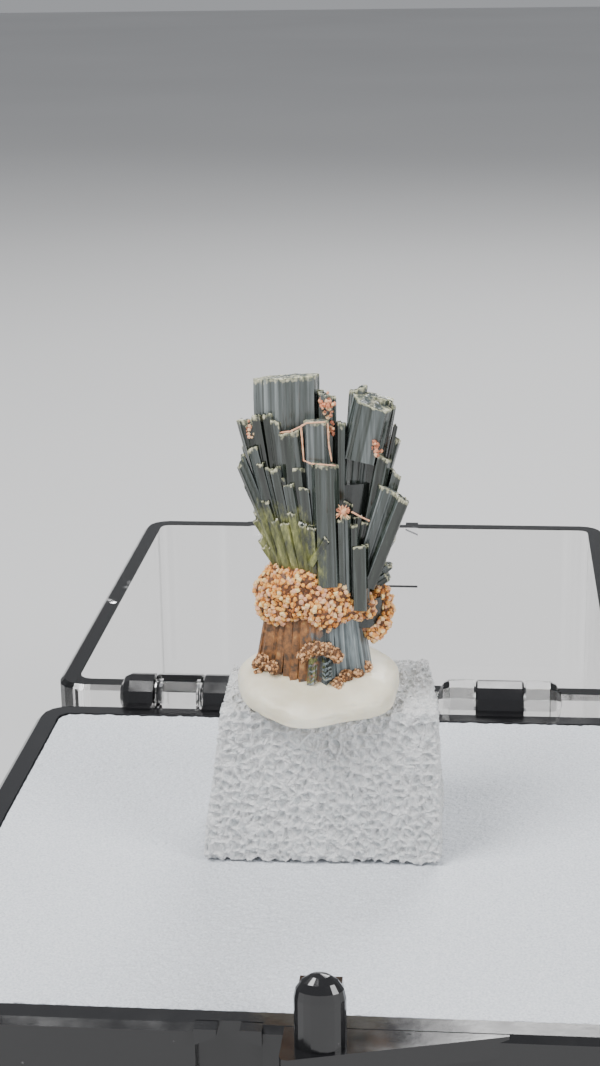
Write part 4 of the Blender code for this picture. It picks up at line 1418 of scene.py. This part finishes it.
@dataclass
class PuttyLump:
    """A pressed lump with creases on its front lip, closed round the crystal's foot.

    Attributes:
        centre: Its middle to the right and back.
        reach: Its reach to the right and back.
        seat: The height of its widest line.
        front_top: How far it rises above that at its front.
        back_top: How far it rises at its back.
        under: How far it falls below it.
        droop: How far its front lip hangs down.
        creases: Each crease's height, slope, depth, and first and last place to the right.
        crease_width: Half a crease's width.
    """

    centre: tuple[float, float] = (0.4, 0.35)
    reach: tuple[float, float] = (3.6, 3.35)
    seat: float = 0.35
    front_top: float = 0.85
    back_top: float = 1.9
    under: float = 0.45
    droop: float = 0.85
    creases: tuple = (
        (0.10, 0.02, 0.05, -2.2, 1.3),
        (-0.08, -0.05, 0.04, -1.6, 0.9),
        (0.32, 0.10, 0.03, 0.8, 3.2),
        (0.02, 0.12, 0.035, -3.0, -1.2),
        (0.55, -0.10, 0.03, 1.5, 3.6),
    )
    crease_width: float = 0.035

    def build(self) -> None:
        """Makes the piece."""
        shape = bmesh.new()
        bmesh.ops.create_uvsphere(shape, u_segments=150, v_segments=70, radius=1.0)
        rng = random.Random(5)
        waves = [rng.uniform(-0.03, 0.03) for _ in range(6)]
        for point in shape.verts:
            x, y, z = point.co
            place = self._place(x, y, z, waves)
            dent = 0.05 * noise.noise(place * 0.9) + 0.02 * noise.noise(place * 3.1)
            way = Vector((x, y, 0.6 * z)).normalized()
            moved = place + way * (dent - self._crease(place, y))
            point.co = moved * MM + Vector((0.0, 0.0, BLOCK_TOP))
        mesh = bpy.data.meshes.new("putty_lump")
        shape.to_mesh(mesh)
        shape.free()
        mesh.shade_smooth()
        mesh.materials.append(PuttyWax().material())
        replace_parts(piece("putty_lump", mesh), "putty")

    def _place(self, x: float, y: float, z: float, waves: list[float]) -> Vector:
        """Where a point of the unit ball comes to lie.

        Args:
            x: Its distance to the right.
            y: Its distance to the back.
            z: Its height.
            waves: How strongly the outline waves, from two waves round upwards.

        Returns:
            The place.
        """
        turn = math.atan2(y, x)
        reach = 1.0 + sum(s * math.cos((k + 2) * turn + k) for k, s in enumerate(waves))
        front = max(0.0, -y - 0.35)
        back = 0.5 + 0.5 * y
        if z >= 0.0:
            height = (self.front_top + (self.back_top - self.front_top) * back) * z**0.45
        else:
            height = self.under * z
        return Vector((
            self.centre[0] + self.reach[0] * reach * x,
            self.centre[1] + self.reach[1] * reach * y,
            self.seat + height - self.droop * front**1.2,
        ))

    def _crease(self, place: Vector, y: float) -> float:
        """How deep the creases are at a place on the front."""
        return sum(
            depth * math.exp(-(((place.z - level - slope * place.x) / self.crease_width) ** 2))
            for level, slope, depth, low, high in self.creases
            if low < place.x < high and y < 0.0
        )


@dataclass
class TornBlock:
    """The torn foam block: cell walls stand up and cells sink in.

    Attributes:
        solid: The frame's plain block.
        voxel: The size of its faces in millimetres.
        cells: Cells per millimetre.
        sharp: How narrow the cells' walls are.
        rise: How far a wall stands up.
        sink: How far a cell sinks in.
        rough: How far the finer grain moves the surface.
    """

    solid: bpy.types.Object
    voxel: float = 0.085
    cells: float = 2.1
    sharp: float = 3.2
    rise: float = 0.07
    sink: float = 0.11
    rough: float = 0.045

    def build(self) -> None:
        """Makes the piece."""
        mesh = self._fine_copy()
        ways = [point.normal.copy() for point in mesh.vertices]
        for point, way in zip(mesh.vertices, ways):
            place = point.co / MM
            near = noise.voronoi(place * self.cells)[0]
            wall = max(0.0, 1.0 - (near[1] - near[0]) * self.sharp)
            rough = noise.fractal(place * 5.0, 0.6, 2.0, 3)
            move = self.rise * wall - self.sink * (1.0 - wall) + self.rough * rough
            point.co = point.co + way * (move * MM)
        mesh.materials.append(BlockFoam().material())
        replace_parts(piece("foam_block_torn", mesh), "foam_block")

    def _fine_copy(self) -> bpy.types.Mesh:
        """A copy of the block in even small faces.

        Returns:
            The new mesh, with no material.
        """
        solid = bmesh.new()
        solid.from_mesh(self.solid.data)
        bmesh.ops.remove_doubles(solid, verts=solid.verts[:], dist=MERGE_REACH)
        closed = bpy.data.meshes.new("copy")
        solid.to_mesh(closed)
        solid.free()
        copy = bpy.data.objects.new("copy", closed)
        bpy.context.scene.collection.objects.link(copy)
        remesh = copy.modifiers.new("even", "REMESH")
        remesh.mode = "VOXEL"
        remesh.voxel_size = self.voxel * MM
        bpy.context.view_layer.update()
        graph = bpy.context.evaluated_depsgraph_get()
        mesh = bpy.data.meshes.new_from_object(copy.evaluated_get(graph))
        bpy.data.objects.remove(copy)
        mesh.materials.clear()
        return mesh


@dataclass
class BeadedPad:
    """The foam pad: its top in fine beads, on plain sides.

    Attributes:
        cells: Faces along each side.
        corner: The corners' radius.
        bead: The beads' height.
    """

    cells: int = 280
    corner: float = 0.75 * MM
    bead: float = 0.05 * MM

    def build(self) -> None:
        """Makes the piece."""
        low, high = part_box("foam_pad")
        half = high.x
        shape = bmesh.new()
        bmesh.ops.create_grid(shape, x_segments=self.cells, y_segments=self.cells, size=half)
        for point in shape.verts:
            self._round_corner(point, half)
            place = point.co / MM
            bead = noise.noise(place * 4.2) + 0.5 * noise.noise(place * 9.5)
            point.co.z = high.z - self.bead + self.bead * bead
        edges = [e for e in shape.edges if e.is_boundary]
        made = bmesh.ops.extrude_edge_only(shape, edges=edges)["geom"]
        for point in (v for v in made if isinstance(v, bmesh.types.BMVert)):
            point.co.z = low.z
        bmesh.ops.edgeloop_fill(shape, edges=[e for e in shape.edges if e.is_boundary])
        bmesh.ops.recalc_face_normals(shape, faces=shape.faces[:])
        mesh = bpy.data.meshes.new("foam_pad_beads")
        shape.to_mesh(mesh)
        shape.free()
        mesh.materials.append(PadFoam().material())
        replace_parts(piece("foam_pad_beads", mesh), "foam_pad")

    def _round_corner(self, point: bmesh.types.BMVert, half: float) -> None:
        """Moves a point that lies outside a rounded corner onto it.

        Args:
            point: The point.
            half: Half the pad's side.
        """
        over = [max(0.0, abs(c) - (half - self.corner)) for c in point.co.xy]
        far = math.hypot(*over)
        if min(over) > 0.0 and far > self.corner:
            for axis in (0, 1):
                inward = over[axis] * (1.0 - self.corner / far)
                point.co[axis] -= math.copysign(inward, point.co[axis])


@dataclass
class Studio:
    """The camera, the lights, the world and the floor.

    Attributes:
        lens: The photograph's camera.
    """

    lens: Lens

    def build(self) -> None:
        """Makes everything that isn't part of the object."""
        self._camera()
        for lamp in LAMPS:
            self._lamp(lamp)
        self._world()
        self._floor()

    def _camera(self) -> None:
        """Places the camera as the photograph's was."""
        lens = self.lens
        pitch, yaw, roll = (math.radians(a) for a in (lens.pitch, lens.yaw, lens.roll))
        ahead = Vector((math.sin(yaw) * math.cos(pitch), math.cos(yaw) * math.cos(pitch), -math.sin(pitch)))
        level = Vector((math.cos(yaw), -math.sin(yaw), 0.0))
        down = ahead.cross(level)
        right = math.cos(roll) * level + math.sin(roll) * down
        down = -math.sin(roll) * level + math.cos(roll) * down
        camera = bpy.data.objects.new("camera", bpy.data.cameras.new("camera"))
        bpy.context.scene.collection.objects.link(camera)
        turn = Matrix((right, -down, -ahead)).transposed()
        camera.matrix_world = Matrix.Translation(lens.place) @ turn.to_4x4()
        camera.data.sensor_width = 36.0
        camera.data.lens = lens.focal * camera.data.sensor_width / lens.tall
        camera.data.clip_start = 1.0 * MM
        bpy.context.scene.camera = camera

    def _lamp(self, lamp: Lamp) -> None:
        """Makes one light that looks at the specimen."""
        data = bpy.data.lights.new(lamp.name, "AREA")
        data.size = lamp.size
        data.energy = lamp.power
        data.color = lamp.tint
        light = bpy.data.objects.new(lamp.name, data)
        bpy.context.scene.collection.objects.link(light)
        light.location = lamp.place
        way = Vector(SPECIMEN_MIDDLE) - Vector(lamp.place)
        light.rotation_euler = way.to_track_quat("-Z", "Y").to_euler()

    def _world(self) -> None:
        """Fills the surroundings with soft light."""
        world = bpy.data.worlds.new("studio")
        world.use_nodes = True
        light = world.node_tree.nodes["Background"]
        light.inputs["Color"].default_value = WORLD_TINT
        light.inputs["Strength"].default_value = WORLD_STRENGTH
        bpy.context.scene.world = world

    def _floor(self) -> None:
        """Lays the pale floor."""
        half = FLOOR_SIDE / 2
        mesh = bpy.data.meshes.new("floor")
        corners = [(-half, -half, 0), (half, -half, 0), (half, half, 0), (-half, half, 0)]
        mesh.from_pydata(corners, [], [(0, 1, 2, 3)])
        floor = bpy.data.objects.new("floor", mesh)
        bpy.context.scene.collection.objects.link(floor)
        book = NodeBook("floor_look")
        book.colour(book.grey(book.noise(6.0, 2.0), FLOOR_GREYS))
        book.set(Roughness=0.7)
        mesh.materials.append(book.material)


BOX_FINISHES = {"box_base": BlackPlastic(), "lid": ClearPlastic()}


@dataclass
class Specimen:
    """The object itself: the box's two halves in their finishes, and what stands in the base.

    Attributes:
        nodes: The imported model's nodes by name.
    """

    nodes: dict[str, bpy.types.Object]

    def build(self) -> None:
        """Dresses the box and makes the rest."""
        for name, finish in BOX_FINISHES.items():
            node = self.nodes[name]
            node.data.materials.clear()
            node.data.materials.append(finish.material())
            LOG.info("%s has its finish", name)
        PuttyLump().build()
        TornBlock(self.nodes["foam_block"]).build()
        BeadedPad().build()
        CrystalGroup().build()


def main() -> None:
    """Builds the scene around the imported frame."""
    logging.basicConfig(level=logging.INFO)
    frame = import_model()
    Studio(Lens()).build()
    Specimen(frame["nodes"]).build()


if __name__ == "__main__":
    main()
